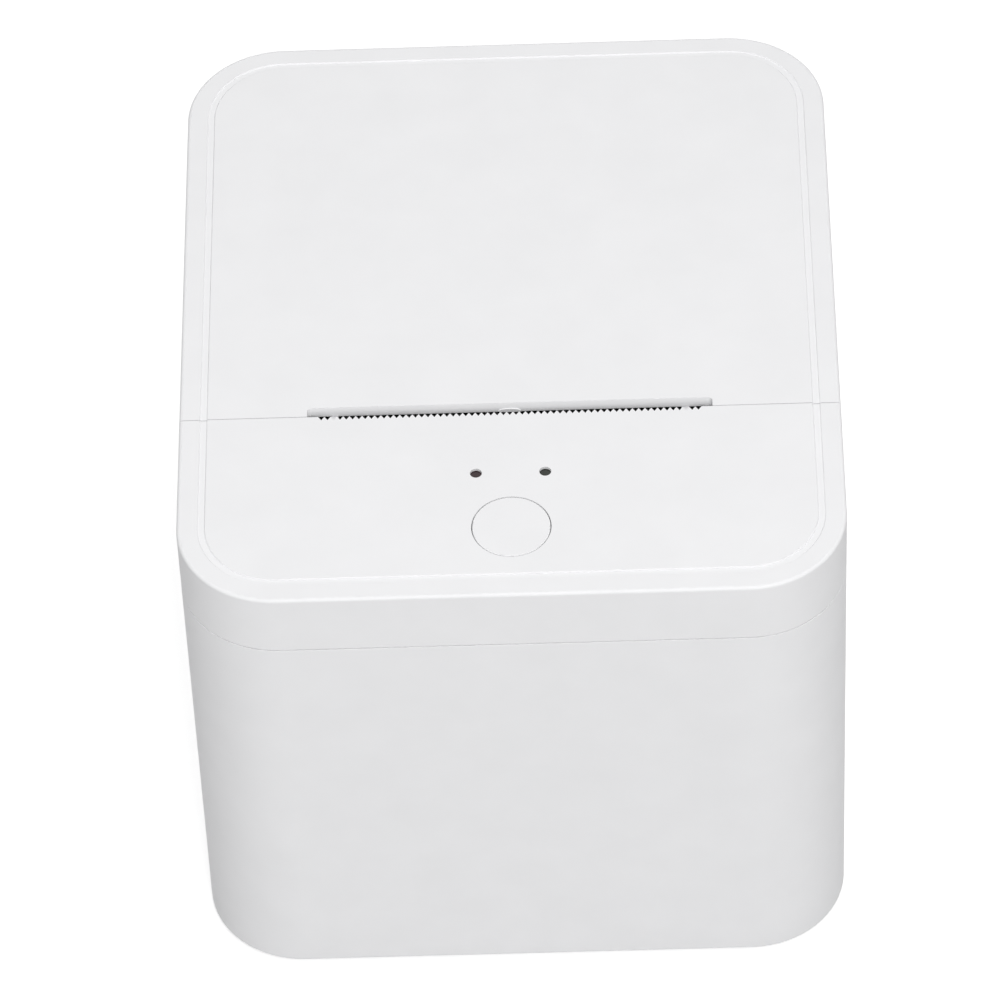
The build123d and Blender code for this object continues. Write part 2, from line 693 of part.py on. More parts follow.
def wall_pad():
    """A low half-round pad on the slot's wall, in the middle."""
    face = Plane.XZ * Ellipse(WALL_PAD_WIDTH / 2, WALL_PAD_HEIGHT)
    pad = Pos(0, SLOT_EDGE_Y + OVERLAP, SLOT_EDGE_Z) * extrude(face, OVERLAP + WALL_PAD_RISE)
    return pad & block(-ALL, ALL, -ALL, ALL, SLOT_EDGE_Z - SLOT_EDGE_THICKNESS, ALL)


def make_lid():
    keep = block(-ALL, ALL, LID_EDGE_Y, ALL, 0, ALL)
    pieces = [top_shell() & keep, hinge_bead()]
    for x, y in liner_screw_places():
        pieces.append(rod_z(x, y, BOSS_RADIUS, LINER_TOP_Z, ROOF_Z + OVERLAP))
    lid = cut(fuse(pieces), [slot_recess(), paper_gap()])
    lid = fuse([lid] + guide_ribs() + [wall_pad()])
    tools = []
    for sx in (-1, 1):
        x0 = sx * KNUCKLE_X - KNUCKLE_WIDTH / 2 - HINGE_CLEARANCE
        x1 = x0 + KNUCKLE_WIDTH + 2 * HINGE_CLEARANCE
        notch_y = HINGE_Y - KNUCKLE_NOTCH
        tools.append(block(x0, x1, notch_y, ALL, 0, HINGE_Z + KNUCKLE_NOTCH))
        pin_half = HINGE_PIN_LENGTH / 2 + HINGE_CLEARANCE
        radius = HINGE_PIN_RADIUS + HINGE_PIN_CLEARANCE
        tools.append(rod_x(HINGE_Y, HINGE_Z, radius, sx * KNUCKLE_X - pin_half, sx * KNUCKLE_X + pin_half))
    for x, y in liner_screw_places():
        top = LINER_BOTTOM_Z + SMALL_SCREW_LENGTH
        tools.append(rod_z(x, y, SMALL_SCREW_RADIUS, LINER_BOTTOM_Z, top))
    return cut(lid, tools)


def make_lid_liner():
    """The inner panel of the lid, with the two arms that hold the platen's bushes."""
    half = SIDE_X - WALL - LINER_SIDE_GAP
    front = BIN_FRONT_Y + LINER_BEHIND_BIN_FRONT
    rear = REAR_Y - WALL - LINER_REAR_GAP
    face = Pos(0, (front + rear) / 2) * RectangleRounded(2 * half, rear - front, LINER_CORNER_RADIUS)
    panel = Pos(0, 0, LINER_BOTTOM_Z) * extrude(face, LINER_THICKNESS)
    neck_half = ARM_X + ARM_THICKNESS
    neck_front = SLOT_WALL_Y + NECK_CLEARANCE
    neck_rear = front + LINER_NECK_OVERLAP
    neck = block(-neck_half, neck_half, neck_front, neck_rear, LINER_BOTTOM_Z, LINER_TOP_Z)
    pieces = [panel, neck]
    for sx in (-1, 1):
        x0, x1 = sorted((sx * ARM_X, sx * (ARM_X + ARM_THICKNESS)))
        arm_rear = PLATEN_Y + ARM_HALF_WIDTH
        pieces.append(block(x0, x1, neck_front, arm_rear, PLATEN_Z, LINER_TOP_Z))
        pieces.append(rod_x(PLATEN_Y, PLATEN_Z, ARM_HALF_WIDTH, x0, x1))
        toe_top = LINER_BOTTOM_Z - ARM_TOE_DROP
        pieces.append(block(x0, x1, neck_front - ARM_TOE, arm_rear, PLATEN_Z, toe_top))
    rib_half = (LINER_RIB_COUNT - 1) / 2
    for index in range(LINER_RIB_COUNT):
        x = (index - rib_half) * LINER_RIB_PITCH
        x0 = x - LINER_RIB_THICKNESS / 2
        x1 = x + LINER_RIB_THICKNESS / 2
        rib_bottom = LINER_BOTTOM_Z - LINER_RIB_HEIGHT
        rib_rear = rear - LINER_RIB_END_GAP
        pieces.append(block(x0, x1, front, rib_rear, rib_bottom, LINER_BOTTOM_Z + OVERLAP))
    tools = [rod_x(PLATEN_Y, PLATEN_Z, BUSH_RADIUS, -ALL, ALL)]
    for x, y in liner_screw_places():
        tools.append(rod_z(x, y, SMALL_SCREW_RADIUS, 0, ALL))
    return cut(fuse(pieces), tools)


def hinge_knuckles():
    """The two knuckles on the lower body that hold the hinge pins."""
    knuckles = []
    for sx in (-1, 1):
        x0 = sx * KNUCKLE_X - KNUCKLE_WIDTH / 2
        x1 = x0 + KNUCKLE_WIDTH
        barrel = rod_x(HINGE_Y, HINGE_Z, HINGE_RADIUS, x0, x1)
        web = block(x0, x1, HINGE_Y - HINGE_RADIUS, REAR_Y, HINGE_SEAT_Z - HINGE_CLEARANCE, HINGE_Z)
        root = block(x0, x1, REAR_Y - WALL, REAR_Y, HINGE_SEAT_Z - KNUCKLE_ROOT_DEPTH, HINGE_Z)
        pin_hole = rod_x(HINGE_Y, HINGE_Z, HINGE_PIN_RADIUS, x0 - PAST, x1 + PAST)
        knuckles.append(barrel + web + root - pin_hole)
    return knuckles


def frame_screw_places():
    """Where the frame's flanges are screwed down, the same on both sides."""
    x = (PLATE_OUTER_X + FRAME_FLANGE_X) / 2
    front = FRAME_FRONT_Y + FRAME_FLANGE_LENGTH / 2
    rear = FRAME_REAR_Y - FRAME_FLANGE_LENGTH / 2
    return [(sx * x, y) for sx in (-1, 1) for y in (front, rear)]


def base_screw_places():
    return four_corners(BASE_BOSS_X, BASE_BOSS_Y)


def deck_screw_places():
    x = SIDE_X - DECK_SCREW_FROM_SIDE
    return [(sx * x, REAR_Y - DECK_SCREW_FROM_REAR) for sx in (-1, 1)]


def gusset(x, y, half_width, z0, z1):
    """A block from a screw's place out to the nearer side wall."""
    outer = SIDE_X - WALL / 2
    x0, x1 = (x - half_width, outer) if x > 0 else (-outer, x + half_width)
    arm = block(x0, x1, y - half_width, y + half_width, z0, z1)
    return arm & case_slab(WALL / 2, z0 - PAST, z1 + PAST)


def panel_pocket(y0, y1, grow):
    """The socket panel's outline, as a block with round corners along Y."""
    width = PANEL_WIDTH + 2 * grow
    height = PANEL_TOP_Z - PANEL_BOTTOM_Z + 2 * grow
    face = Plane.XZ * RectangleRounded(width, height, PANEL_CORNER_RADIUS + grow)
    middle_z = (PANEL_TOP_Z + PANEL_BOTTOM_Z) / 2
    return Pos(0, y1, middle_z) * extrude(face, y1 - y0)


def make_lower_body():
    top_z = PARTING_Z - PARTING_GAP / 2
    body = case_slab(0, CASE_BOTTOM_Z, top_z)
    body = chamfer(top_edges(body), BODY_EDGE_CHAMFER)
    body = fillet(bottom_edges(body), BOTTOM_EDGE_RADIUS)
    body = body - case_slab(WALL, CASE_BOTTOM_Z - PAST, top_z + PAST)
    tongue = case_slab(TONGUE_INSET, top_z - OVERLAP, PARTING_Z + TONGUE_HEIGHT)
    tongue = tongue - case_slab(WALL, 0, ALL)
    tongue = tongue - block(-ALL, ALL, HINGE_Y - 2 * HINGE_RADIUS, ALL, 0, ALL)
    body = body + tongue
    rebate_half = BEAD_HALF_LENGTH + HINGE_CLEARANCE
    rebate_y = HINGE_Y - HINGE_RADIUS - HINGE_CLEARANCE
    body = body - block(-rebate_half, rebate_half, rebate_y, ALL, HINGE_SEAT_Z, ALL)
    pieces = [body] + hinge_knuckles()
    pieces.append(panel_pocket(PANEL_BACK_Y, REAR_Y - WALL / 2, WALL))
    for x, y in base_screw_places():
        pieces.append(rod_z(x, y, BOSS_RADIUS, BASE_TOP_Z, BASE_TOP_Z + BASE_BOSS_HEIGHT))
        top = BASE_TOP_Z + BASE_BOSS_HEIGHT
        pieces.append(gusset(x, y, GUSSET_THICKNESS / 2, BASE_TOP_Z, top))
    block_half = SCREW_BLOCK_WIDTH / 2
    for x, y in frame_screw_places():
        bottom = FRAME_BOTTOM_Z - FRAME_BLOCK_HEIGHT
        pieces.append(gusset(x, y, block_half, bottom, FRAME_BOTTOM_Z))
    for x, y in deck_screw_places():
        pieces.append(gusset(x, y, block_half, DECK_BOTTOM_Z - DECK_BOSS_HEIGHT, DECK_BOTTOM_Z))
    for x, y in cover_screw_places():
        pieces.append(gusset(x, y, BOSS_RADIUS, COVER_TAB_Z, COVER_TAB_Z + COVER_TAB_THICKNESS))
    body = fuse(pieces)
    tools = [panel_pocket(PANEL_Y, REAR_Y + PAST, 0)]
    tools += socket_openings()
    for x, y in base_screw_places():
        tools.append(rod_z(x, y, SCREW_RADIUS, 0, BASE_TOP_Z + SCREW_LENGTH))
    for x, y in frame_screw_places():
        bottom = FRAME_BOTTOM_Z - SCREW_LENGTH
        tools.append(rod_z(x, y, SCREW_RADIUS, bottom, FRAME_BOTTOM_Z + PAST))
    for x, y in deck_screw_places():
        bottom = DECK_BOTTOM_Z - SCREW_LENGTH
        tools.append(rod_z(x, y, SCREW_RADIUS, bottom, DECK_BOTTOM_Z + PAST))
    for x, y in cover_screw_places():
        tools.append(rod_z(x, y, SCREW_RADIUS, 0, ALL))
    return cut(body, tools)


def socket_openings():
    """Holes in the panel for the two sockets and the switch."""
    front = PANEL_BACK_Y - PAST
    rear = REAR_Y + PAST
    openings = []
    for x, width, height in (
        (POWER_SOCKET_X, POWER_SOCKET_WIDTH, POWER_SOCKET_HEIGHT),
        (DATA_SOCKET_X, DATA_SOCKET_WIDTH, DATA_SOCKET_HEIGHT),
    ):
        half = width / 2 + SOCKET_CLEARANCE
        z0 = MAIN_BOARD_TOP_Z - SOCKET_CLEARANCE
        z1 = MAIN_BOARD_TOP_Z + height + SOCKET_CLEARANCE
        openings.append(block(x - half, x + half, front, rear, z0, z1))
    x0 = SWITCH_X - SWITCH_BODY_WIDTH / 2
    x1 = SWITCH_X + SWITCH_BODY_WIDTH / 2
    z_half = SWITCH_BODY_HEIGHT / 2
    openings.append(block(x0, x1, front, rear, SWITCH_Z - z_half, SWITCH_Z + z_half))
    return openings


def main_post_places():
    x = MAIN_BOARD_HALF - MAIN_POST_FROM_SIDE
    front = MAIN_BOARD_FRONT_Y + MAIN_POST_FROM_FRONT
    rear = MAIN_BOARD_REAR_Y - MAIN_POST_FROM_REAR
    return [(sx * x, y) for sx in (-1, 1) for y in (front, rear)]


def foot_places():
    return four_corners(SIDE_X - FOOT_FROM_SIDE, REAR_Y - FOOT_FROM_END)


def make_base_plate():
    plate = case_slab(WALL + BASE_CLEARANCE, CASE_BOTTOM_Z, BASE_TOP_Z)
    pieces = [plate]
    for x, y in main_post_places():
        pieces.append(rod_z(x, y, SMALL_BOSS_RADIUS, BASE_TOP_Z - OVERLAP, MAIN_BOARD_Z))
    plate = fuse(pieces)
    seat_z = CASE_BOTTOM_Z + SCREW_HEAD_HEIGHT
    tools = []
    for x, y in base_screw_places():
        tools.append(rod_z(x, y, SCREW_RADIUS, 0, ALL))
        tools.append(rod_z(x, y, SCREW_HEAD_RADIUS + HEAD_RECESS_CLEARANCE, 0, seat_z))
    for x, y in main_post_places():
        tools.append(rod_z(x, y, SMALL_SCREW_RADIUS, MAIN_BOARD_TOP_Z - SMALL_SCREW_LENGTH, ALL))
    for x, y in foot_places():
        tools.append(rod_z(x, y, FOOT_RADIUS, 0, CASE_BOTTOM_Z + FOOT_RECESS))
    middle = (VENT_COUNT - 1) / 2
    for index in range(VENT_COUNT):
        slot = SlotOverall(VENT_LENGTH, VENT_WIDTH, rotation=90)
        x = (index - middle) * VENT_PITCH
        tools.append(Pos(x, VENT_Y, 0) * extrude(slot, ALL))
    return cut(plate, tools)


def make_rubber_feet():
    feet = []
    for x, y in foot_places():
        foot = rod_z(x, y, FOOT_RADIUS, 0, CASE_BOTTOM_Z + FOOT_RECESS)
        foot = fillet(foot.edges().sort_by(Axis.Z)[0], FOOT_EDGE_RADIUS)
        feet.append(foot)
    return join(feet)


def make_base_screws():
    seat_z = CASE_BOTTOM_Z + SCREW_HEAD_HEIGHT
    return join([case_screw((x, y, seat_z), (0, 0, 1)) for x, y in base_screw_places()])


def make_cover_screws():
    return join([case_screw((x, y, COVER_TAB_Z), (0, 0, 1)) for x, y in cover_screw_places()])


def make_hinge_pins():
    pins = []
    half = HINGE_PIN_LENGTH / 2
    for sx in (-1, 1):
        middle = sx * KNUCKLE_X
        pins.append(rod_x(HINGE_Y, HINGE_Z, HINGE_PIN_RADIUS, middle - half, middle + half))
    return join(pins)


def make_feed_button():
    flange_top = ROOF_Z - BUTTON_FLANGE_GAP
    flange_bottom = flange_top - BUTTON_FLANGE_THICKNESS
    stem_bottom = SWITCH_TOP_Z + PLUNGER_HEIGHT
    cap = rod_z(0, BUTTON_Y, BUTTON_RADIUS, flange_bottom, TOP_Z)
    cap = fillet(cap.edges().sort_by(Axis.Z)[-1], BUTTON_EDGE_RADIUS)
    flange = rod_z(0, BUTTON_Y, BUTTON_RADIUS + BUTTON_FLANGE, flange_bottom, flange_top)
    stem = rod_z(0, BUTTON_Y, BUTTON_STEM_RADIUS, stem_bottom, flange_bottom + OVERLAP)
    return cap + flange + stem


def make_switch_plunger():
    bottom = SWITCH_TOP_Z - PLUNGER_DEPTH
    return rod_z(0, BUTTON_Y, PLUNGER_RADIUS, bottom, SWITCH_TOP_Z + PLUNGER_HEIGHT)


def make_button_switch():
    half = SWITCH_SIZE / 2
    body = block(-half, half, BUTTON_Y - half, BUTTON_Y + half, BUTTON_BOARD_TOP_Z, SWITCH_TOP_Z)
    well_bottom = SWITCH_TOP_Z - PLUNGER_DEPTH - BUTTON_TRAVEL - PLUNGER_END_GAP
    well_radius = PLUNGER_RADIUS + PLUNGER_CLEARANCE
    return body - rod_z(0, BUTTON_Y, well_radius, well_bottom, SWITCH_TOP_Z + PAST)


def make_button_board():
    half = BUTTON_BOARD_WIDTH / 2
    front = BUTTON_Y - BUTTON_BOARD_FRONT
    rear = LAMP_Y + BUTTON_BOARD_REAR
    board = block(-half, half, front, rear, BUTTON_BOARD_Z, BUTTON_BOARD_TOP_Z)
    holes = [rod_z(sx * BUTTON_POST_X, BUTTON_Y, SMALL_SCREW_RADIUS, 0, ALL) for sx in (-1, 1)]
    return cut(board, holes)


def make_lamps():
    lamps = []
    bottom = BUTTON_BOARD_TOP_Z
    top = bottom + LAMP_HEIGHT
    y0 = LAMP_Y - LAMP_WIDTH / 2
    y1 = LAMP_Y + LAMP_WIDTH / 2
    for sx in (-1, 1):
        x0 = sx * LAMP_SPACING / 2 - LAMP_LENGTH / 2
        lamps.append(block(x0, x0 + LAMP_LENGTH, y0, y1, bottom, top))
    return join(lamps)


def make_lens(side):
    """A light pipe from the lamp on the board up to the window in the cover."""
    x = side * LAMP_SPACING / 2
    top = TOP_Z - LENS_RECESS
    foot = BUTTON_BOARD_TOP_Z + LAMP_HEIGHT + LENS_ABOVE_LAMP
    pipe = rod_z(x, LAMP_Y, LAMP_HOLE_RADIUS - LENS_CLEARANCE, foot, top)
    flange = rod_z(x, LAMP_Y, LENS_FLANGE_RADIUS, ROOF_Z - LENS_FLANGE_THICKNESS, ROOF_Z)
    return pipe + flange


def make_button_board_screws():
    places = [(sx * BUTTON_POST_X, BUTTON_Y, BUTTON_BOARD_Z) for sx in (-1, 1)]
    return join([small_screw(place, (0, 0, 1)) for place in places])


def make_liner_screws():
    places = [(x, y, LINER_BOTTOM_Z) for x, y in liner_screw_places()]
    return join([small_screw(place, (0, 0, 1)) for place in places])


def involute(angle):
    return tan(angle) - angle


def gear_face(teeth, phase):
    """A spur gear's outline in the YZ plane, with the middle of one tooth at the angle phase."""
    pitch_radius = GEAR_MODULE * teeth / 2
    base_radius = pitch_radius * cos(PRESSURE_ANGLE)
    tip_radius = pitch_radius + GEAR_ADDENDUM * GEAR_MODULE
    root_radius = pitch_radius - GEAR_DEDENDUM * GEAR_MODULE
    half_at_pitch = pi / (2 * teeth) - GEAR_BACKLASH / 2 / pitch_radius
    start_radius = max(base_radius, root_radius)
    flank = []
    for index in range(GEAR_FLANK_STEPS + 1):
        radius = start_radius + (tip_radius - start_radius) * index / GEAR_FLANK_STEPS
        roll = sqrt(max(radius**2 / base_radius**2 - 1, 0))
        pressure = atan2(roll, 1)
        half = half_at_pitch + involute(PRESSURE_ANGLE) - involute(pressure)
        flank.append((radius, half))
    points = []
    for tooth in range(teeth):
        middle = phase + 2 * pi * tooth / teeth
        root_half = flank[0][1]
        points.append((root_radius, middle - root_half))
        points += [(radius, middle - half) for radius, half in flank]
        points += [(radius, middle + half) for radius, half in reversed(flank)]
        points.append((root_radius, middle + root_half))
    corners = [(radius * cos(angle), radius * sin(angle)) for radius, angle in points]
    return Polygon(*corners, align=None)


def gear(teeth, phase, y, z, bore):
    """A spur gear with its axis along X."""
    face = Plane.YZ * gear_face(teeth, phase)
    wheel = Pos(GEAR_X, y, z) * extrude(face, GEAR_WIDTH)
    return wheel - rod_x(y, z, bore, GEAR_X - PAST, GEAR_END_X + PAST)


def platen_phase():
    """One platen tooth points straight down at the idler."""
    return -pi / 2


def idler_phase():
    """One idler gap points straight up at the platen."""
    return pi / 2 + pi / IDLER_TEETH


def pinion_phase():
    """The pinion's gap meets the idler tooth that is nearest to the line of centres."""
    line = atan2(MOTOR_Z - IDLER_Z, MOTOR_Y - IDLER_Y)
    step = 2 * pi / IDLER_TEETH
    offset = (idler_phase() - line) % step
    turned = offset * IDLER_TEETH / PINION_TEETH
    return line + pi - turned + pi / PINION_TEETH


def make_platen_roller():
    half = PLATEN_LENGTH / 2
    sleeve = rod_x(PLATEN_Y, PLATEN_Z, PLATEN_RADIUS, -half, half)
    return sleeve - rod_x(PLATEN_Y, PLATEN_Z, PLATEN_SHAFT_RADIUS, -half - PAST, half + PAST)


def make_platen_shaft():
    left = -(PLATE_OUTER_X + SHAFT_PAST_END)
    right = GEAR_END_X + SHAFT_PAST_END
    shaft = rod_x(PLATEN_Y, PLATEN_Z, PLATEN_SHAFT_RADIUS, left, right)
    ends = shaft.edges().filter_by(GeomType.CIRCLE)
    return chamfer(ends, SHAFT_CHAMFER)


def make_platen_bushes():
    bushes = []
    for sx in (-1, 1):
        x0, x1 = sorted((sx * ARM_X, sx * (ARM_X + BUSH_LENGTH)))
        bush = rod_x(PLATEN_Y, PLATEN_Z, BUSH_RADIUS, x0, x1)
        bore_radius = PLATEN_SHAFT_RADIUS + BUSH_CLEARANCE
        bore = rod_x(PLATEN_Y, PLATEN_Z, bore_radius, x0 - PAST, x1 + PAST)
        bushes.append(bush - bore)
    return join(bushes)


def make_motor():
    rear_x = PLATE_X - MOTOR_FLANGE - MOTOR_LENGTH
    can = rod_x(MOTOR_Y, MOTOR_Z, MOTOR_RADIUS, rear_x, PLATE_X)
    can = fillet(can.edges().filter_by(GeomType.CIRCLE).sort_by(Axis.X)[0], MOTOR_EDGE_RADIUS)
    reach = MOTOR_SCREW_SPACING / 2
    flange = block(
        PLATE_X - MOTOR_FLANGE,
        PLATE_X,
        MOTOR_Y - reach,
        MOTOR_Y + reach,
        MOTOR_Z - MOTOR_EAR_RADIUS,
        MOTOR_Z + MOTOR_EAR_RADIUS,
    )
    pieces = [can, flange]
    for y in (MOTOR_Y - reach, MOTOR_Y + reach):
        pieces.append(rod_x(y, MOTOR_Z, MOTOR_EAR_RADIUS, PLATE_X - MOTOR_FLANGE, PLATE_X))
    boss_x = PLATE_X - MOTOR_FLANGE
    pieces.append(rod_x(MOTOR_Y, MOTOR_Z, MOTOR_BOSS_RADIUS, boss_x, PLATE_OUTER_X))
    bore_x = rear_x + MOTOR_BORE_FROM_REAR
    tools = [rod_x(MOTOR_Y, MOTOR_Z, MOTOR_SHAFT_RADIUS + RUNNING_CLEARANCE, bore_x, ALL)]
    for y in (MOTOR_Y - reach, MOTOR_Y + reach):
        tools.append(rod_x(y, MOTOR_Z, SMALL_SCREW_RADIUS, 0, ALL))
    return cut(fuse(pieces), tools)


def make_motor_shaft():
    rear_x = PLATE_X - MOTOR_FLANGE - MOTOR_LENGTH
    start_x = rear_x + MOTOR_BORE_FROM_REAR + MOTOR_SHAFT_END_GAP
    return rod_x(MOTOR_Y, MOTOR_Z, MOTOR_SHAFT_RADIUS, start_x, GEAR_END_X + SHAFT_PAST_END)


def make_motor_screws():
    reach = MOTOR_SCREW_SPACING / 2
    places = [(PLATE_OUTER_X, y, MOTOR_Z) for y in (MOTOR_Y - reach, MOTOR_Y + reach)]
    return join([small_screw(place, (-1, 0, 0)) for place in places])


def make_idler_stud():
    head_x = GEAR_END_X + IDLER_END_CLEARANCE
    wide = IDLER_STUD_RADIUS + IDLER_SHOULDER
    post = rod_x(IDLER_Y, IDLER_Z, IDLER_STUD_RADIUS, PLATE_X, head_x + OVERLAP)
    shoulder = rod_x(IDLER_Y, IDLER_Z, wide, PLATE_OUTER_X, GEAR_X - IDLER_END_CLEARANCE)
    head = rod_x(IDLER_Y, IDLER_Z, wide, head_x, head_x + IDLER_SHOULDER)
    return post + shoulder + head


def bush_slot():
    """The slots in both frame plates that the platen's bushes drop into."""
    radius = BUSH_RADIUS + BUSH_SLOT_CLEARANCE
    round_end = rod_x(PLATEN_Y, PLATEN_Z, radius, -ALL, ALL)
    way_in = block(-ALL, ALL, PLATEN_Y - radius, PLATEN_Y + radius, PLATEN_Z, ALL)
    return [round_end, way_in]


def make_mechanism_frame():
    pieces = []
    upper_rear = PLATEN_Y + BUSH_RADIUS + BUSH_SLOT_CLEARANCE + FRAME_BEHIND_BUSH
    upper_front = SINK_FRONT_Y - FRAME_BEFORE_SINK
    for sx in (-1, 1):
        x0, x1 = sorted((sx * PLATE_X, sx * PLATE_OUTER_X))
        outline = [
            (FRAME_FRONT_Y, FRAME_BOTTOM_Z),
            (FRAME_REAR_Y, FRAME_BOTTOM_Z),
            (FRAME_REAR_Y, FRAME_BOTTOM_Z + FRAME_FOOT_HEIGHT),
            (upper_rear, FRAME_BOTTOM_Z + FRAME_NECK_HEIGHT),
            (upper_rear, FRAME_TOP_Z),
            (upper_front, FRAME_TOP_Z),
            (FRAME_FRONT_Y, FRAME_TOP_Z - FRAME_FRONT_DROP),
        ]
        pieces.append(prism_x(outline, x0, x1))
        f0, f1 = sorted((sx * PLATE_X, sx * FRAME_FLANGE_X))
        top = FRAME_BOTTOM_Z + FRAME_FLANGE_THICKNESS
        front_end = FRAME_FRONT_Y + FRAME_FLANGE_LENGTH
        rear_start = FRAME_REAR_Y - FRAME_FLANGE_LENGTH
        pieces.append(block(f0, f1, FRAME_FRONT_Y, front_end, FRAME_BOTTOM_Z, top))
        pieces.append(block(f0, f1, rear_start, FRAME_REAR_Y, FRAME_BOTTOM_Z, top))
    inner = PLATE_X + OVERLAP
    wall_rear = FRAME_WALL_Y + PLATE_THICKNESS
    wall_top = FRAME_TOP_Z - FRAME_FRONT_DROP
    pieces.append(block(-inner, inner, FRAME_WALL_Y, wall_rear, FRAME_BOTTOM_Z, wall_top))
    shelf_front = HEAD_FACE_Y + SHELF_TO_HEAD
    shelf_rear = BIN_FRONT_Y - SHELF_TO_BIN
    shelf_bottom = SHELF_Z - SHELF_THICKNESS
    pieces.append(block(-inner, inner, shelf_front, shelf_rear, shelf_bottom, SHELF_Z))
    frame = fuse(pieces)
    tools = bush_slot()
    tools.append(rod_x(PIVOT_Y, PIVOT_Z, PIVOT_RADIUS, -ALL, ALL))
    tools.append(rod_x(MOTOR_Y, MOTOR_Z, MOTOR_BOSS_RADIUS, 0, ALL))
    tools.append(rod_x(IDLER_Y, IDLER_Z, IDLER_STUD_RADIUS, 0, ALL))
    reach = MOTOR_SCREW_SPACING / 2
    for y in (MOTOR_Y - reach, MOTOR_Y + reach):
        tools.append(rod_x(y, MOTOR_Z, SMALL_SCREW_RADIUS, 0, ALL))
    for x, y in frame_screw_places():
        tools.append(rod_z(x, y, SCREW_RADIUS, 0, ALL))
    tools.append(make_paper_sensor())
    return cut(frame, tools)


def make_frame_screws():
    seat = FRAME_BOTTOM_Z + FRAME_FLANGE_THICKNESS
    return join([case_screw((x, y, seat), (0, 0, -1)) for x, y in frame_screw_places()])


def make_pivot_rod():
    reach = PLATE_OUTER_X + PIVOT_PAST_FRAME
    return rod_x(PIVOT_Y, PIVOT_Z, PIVOT_RADIUS, -reach, reach)


def make_head_heat_sink():
    half = HEAD_HALF_WIDTH
    sink = block(-half, half, SINK_FRONT_Y, SINK_REAR_Y, SINK_BOTTOM_Z, HEAD_TOP_Z)
    tools = [rod_x(PIVOT_Y, PIVOT_Z, PIVOT_RADIUS + RUNNING_CLEARANCE, -ALL, ALL)]
    middle = (SINK_SLOT_COUNT - 1) / 2
    slot_half = SINK_SLOT_WIDTH / 2
    slot_bottom = PIVOT_Z + SINK_SLOT_ABOVE_PIVOT
    front = SINK_FRONT_Y - PAST
    rear = SINK_FRONT_Y + SINK_SLOT_DEPTH
    for index in range(SINK_SLOT_COUNT):
        x = (index - middle) * SINK_SLOT_PITCH
        near_spring = abs(abs(x) - SPRING_X) < SPRING_RADIUS + SINK_SLOT_WIDTH
        if not near_spring:
            tools.append(block(x - slot_half, x + slot_half, front, rear, slot_bottom, HEAD_TOP_Z + PAST))
    return cut(sink, tools)


def make_thermal_head():
    half = HEAD_HALF_WIDTH
    bottom = PLATEN_Z - HEAD_BELOW_PLATEN
    return block(-half, half, SINK_REAR_Y, HEAD_FACE_Y, bottom, HEAD_TOP_Z)


def make_head_springs():
    """Two coil springs that press the head at the platen, each one unbroken wire."""
    start_y = FRAME_WALL_Y + PLATE_THICKNESS + SPRING_WIRE_RADIUS + SPRING_END_CLEARANCE
    end_y = SINK_FRONT_Y - SPRING_WIRE_RADIUS - SPRING_END_CLEARANCE
    height = end_y - start_y
    pitch = height / SPRING_TURNS
    coil_radius = SPRING_RADIUS - SPRING_WIRE_RADIUS
    springs = []
    for sx in (-1, 1):
        path = Helix(pitch=pitch, height=height, radius=coil_radius)
        section = Plane(origin=path @ 0, z_dir=path % 0) * Circle(SPRING_WIRE_RADIUS)
        coil = sweep(section, path=path, is_frenet=True)
        place = Pos(sx * SPRING_X, start_y, PLATEN_Z - SPRING_BELOW_PLATEN)
        springs.append(place * Rot(-90, 0, 0) * coil)
    return join(springs)


def make_latch_springs():
    """Leaf springs behind the bush slots, hooked over the frame plates' top edge."""
    springs = []
    plate_rear = PLATEN_Y + BUSH_RADIUS + BUSH_SLOT_CLEARANCE + FRAME_BEHIND_BUSH
    leaf_y = plate_rear + LATCH_GAP
    leaf_rear = leaf_y + LATCH_THICKNESS
    top = FRAME_TOP_Z + LATCH_THICKNESS
    for sx in (-1, 1):
        x0, x1 = sorted((sx * PLATE_X, sx * PLATE_OUTER_X))
        leaf = block(x0, x1, leaf_y, leaf_rear, top - LATCH_HEIGHT, top)
        hook = block(x0, x1, plate_rear - LATCH_WIDTH, leaf_rear, FRAME_TOP_Z, top)
        springs.append(leaf + hook)
    return join(springs)


def make_paper_bin():
    """The tub for the roll, and the deck round its mouth that closes the case's inside."""
    outer = BIN_HALF_WIDTH + BIN_WALL
    tub = block(-outer, outer, BIN_FRONT_Y, BIN_REAR_Y, BIN_FLOOR_Z, DECK_TOP_Z)
    long_edges = tub.edges().filter_by(Axis.X).sort_by(Axis.Z)[:2]
    tub = fillet(long_edges, BIN_CRADLE_RADIUS + BIN_WALL)
    deck = case_slab(WALL + DECK_CLEARANCE, DECK_BOTTOM_Z, DECK_TOP_Z)
    deck = deck & block(-ALL, ALL, BIN_FRONT_Y - DECK_WING_REACH, ALL, 0, ALL)
    left = PLATE_OUTER_X + DECK_WELL_SIDE_GAP
    right = GEAR_END_X + DECK_WELL_SIDE_GAP
    well = block(-left, right, -ALL, BIN_FRONT_Y + DECK_WELL_REACH, 0, ALL)
    deck = deck - well
    body = tub + deck
    front = BIN_FRONT_Y + BIN_WALL
    rear = BIN_REAR_Y - BIN_WALL
    hollow = block(-BIN_HALF_WIDTH, BIN_HALF_WIDTH, front, rear, BIN_FLOOR_Z + BIN_WALL, ALL)
    hollow_edges = hollow.edges().filter_by(Axis.X).sort_by(Axis.Z)[:2]
    hollow = fillet(hollow_edges, BIN_CRADLE_RADIUS)
    tools = [hollow]
    for x, y in deck_screw_places():
        tools.append(rod_z(x, y, SCREW_RADIUS, 0, ALL))
    return cut(body, tools)


def make_deck_screws():
    return join([case_screw((x, y, DECK_TOP_Z), (0, 0, -1)) for x, y in deck_screw_places()])


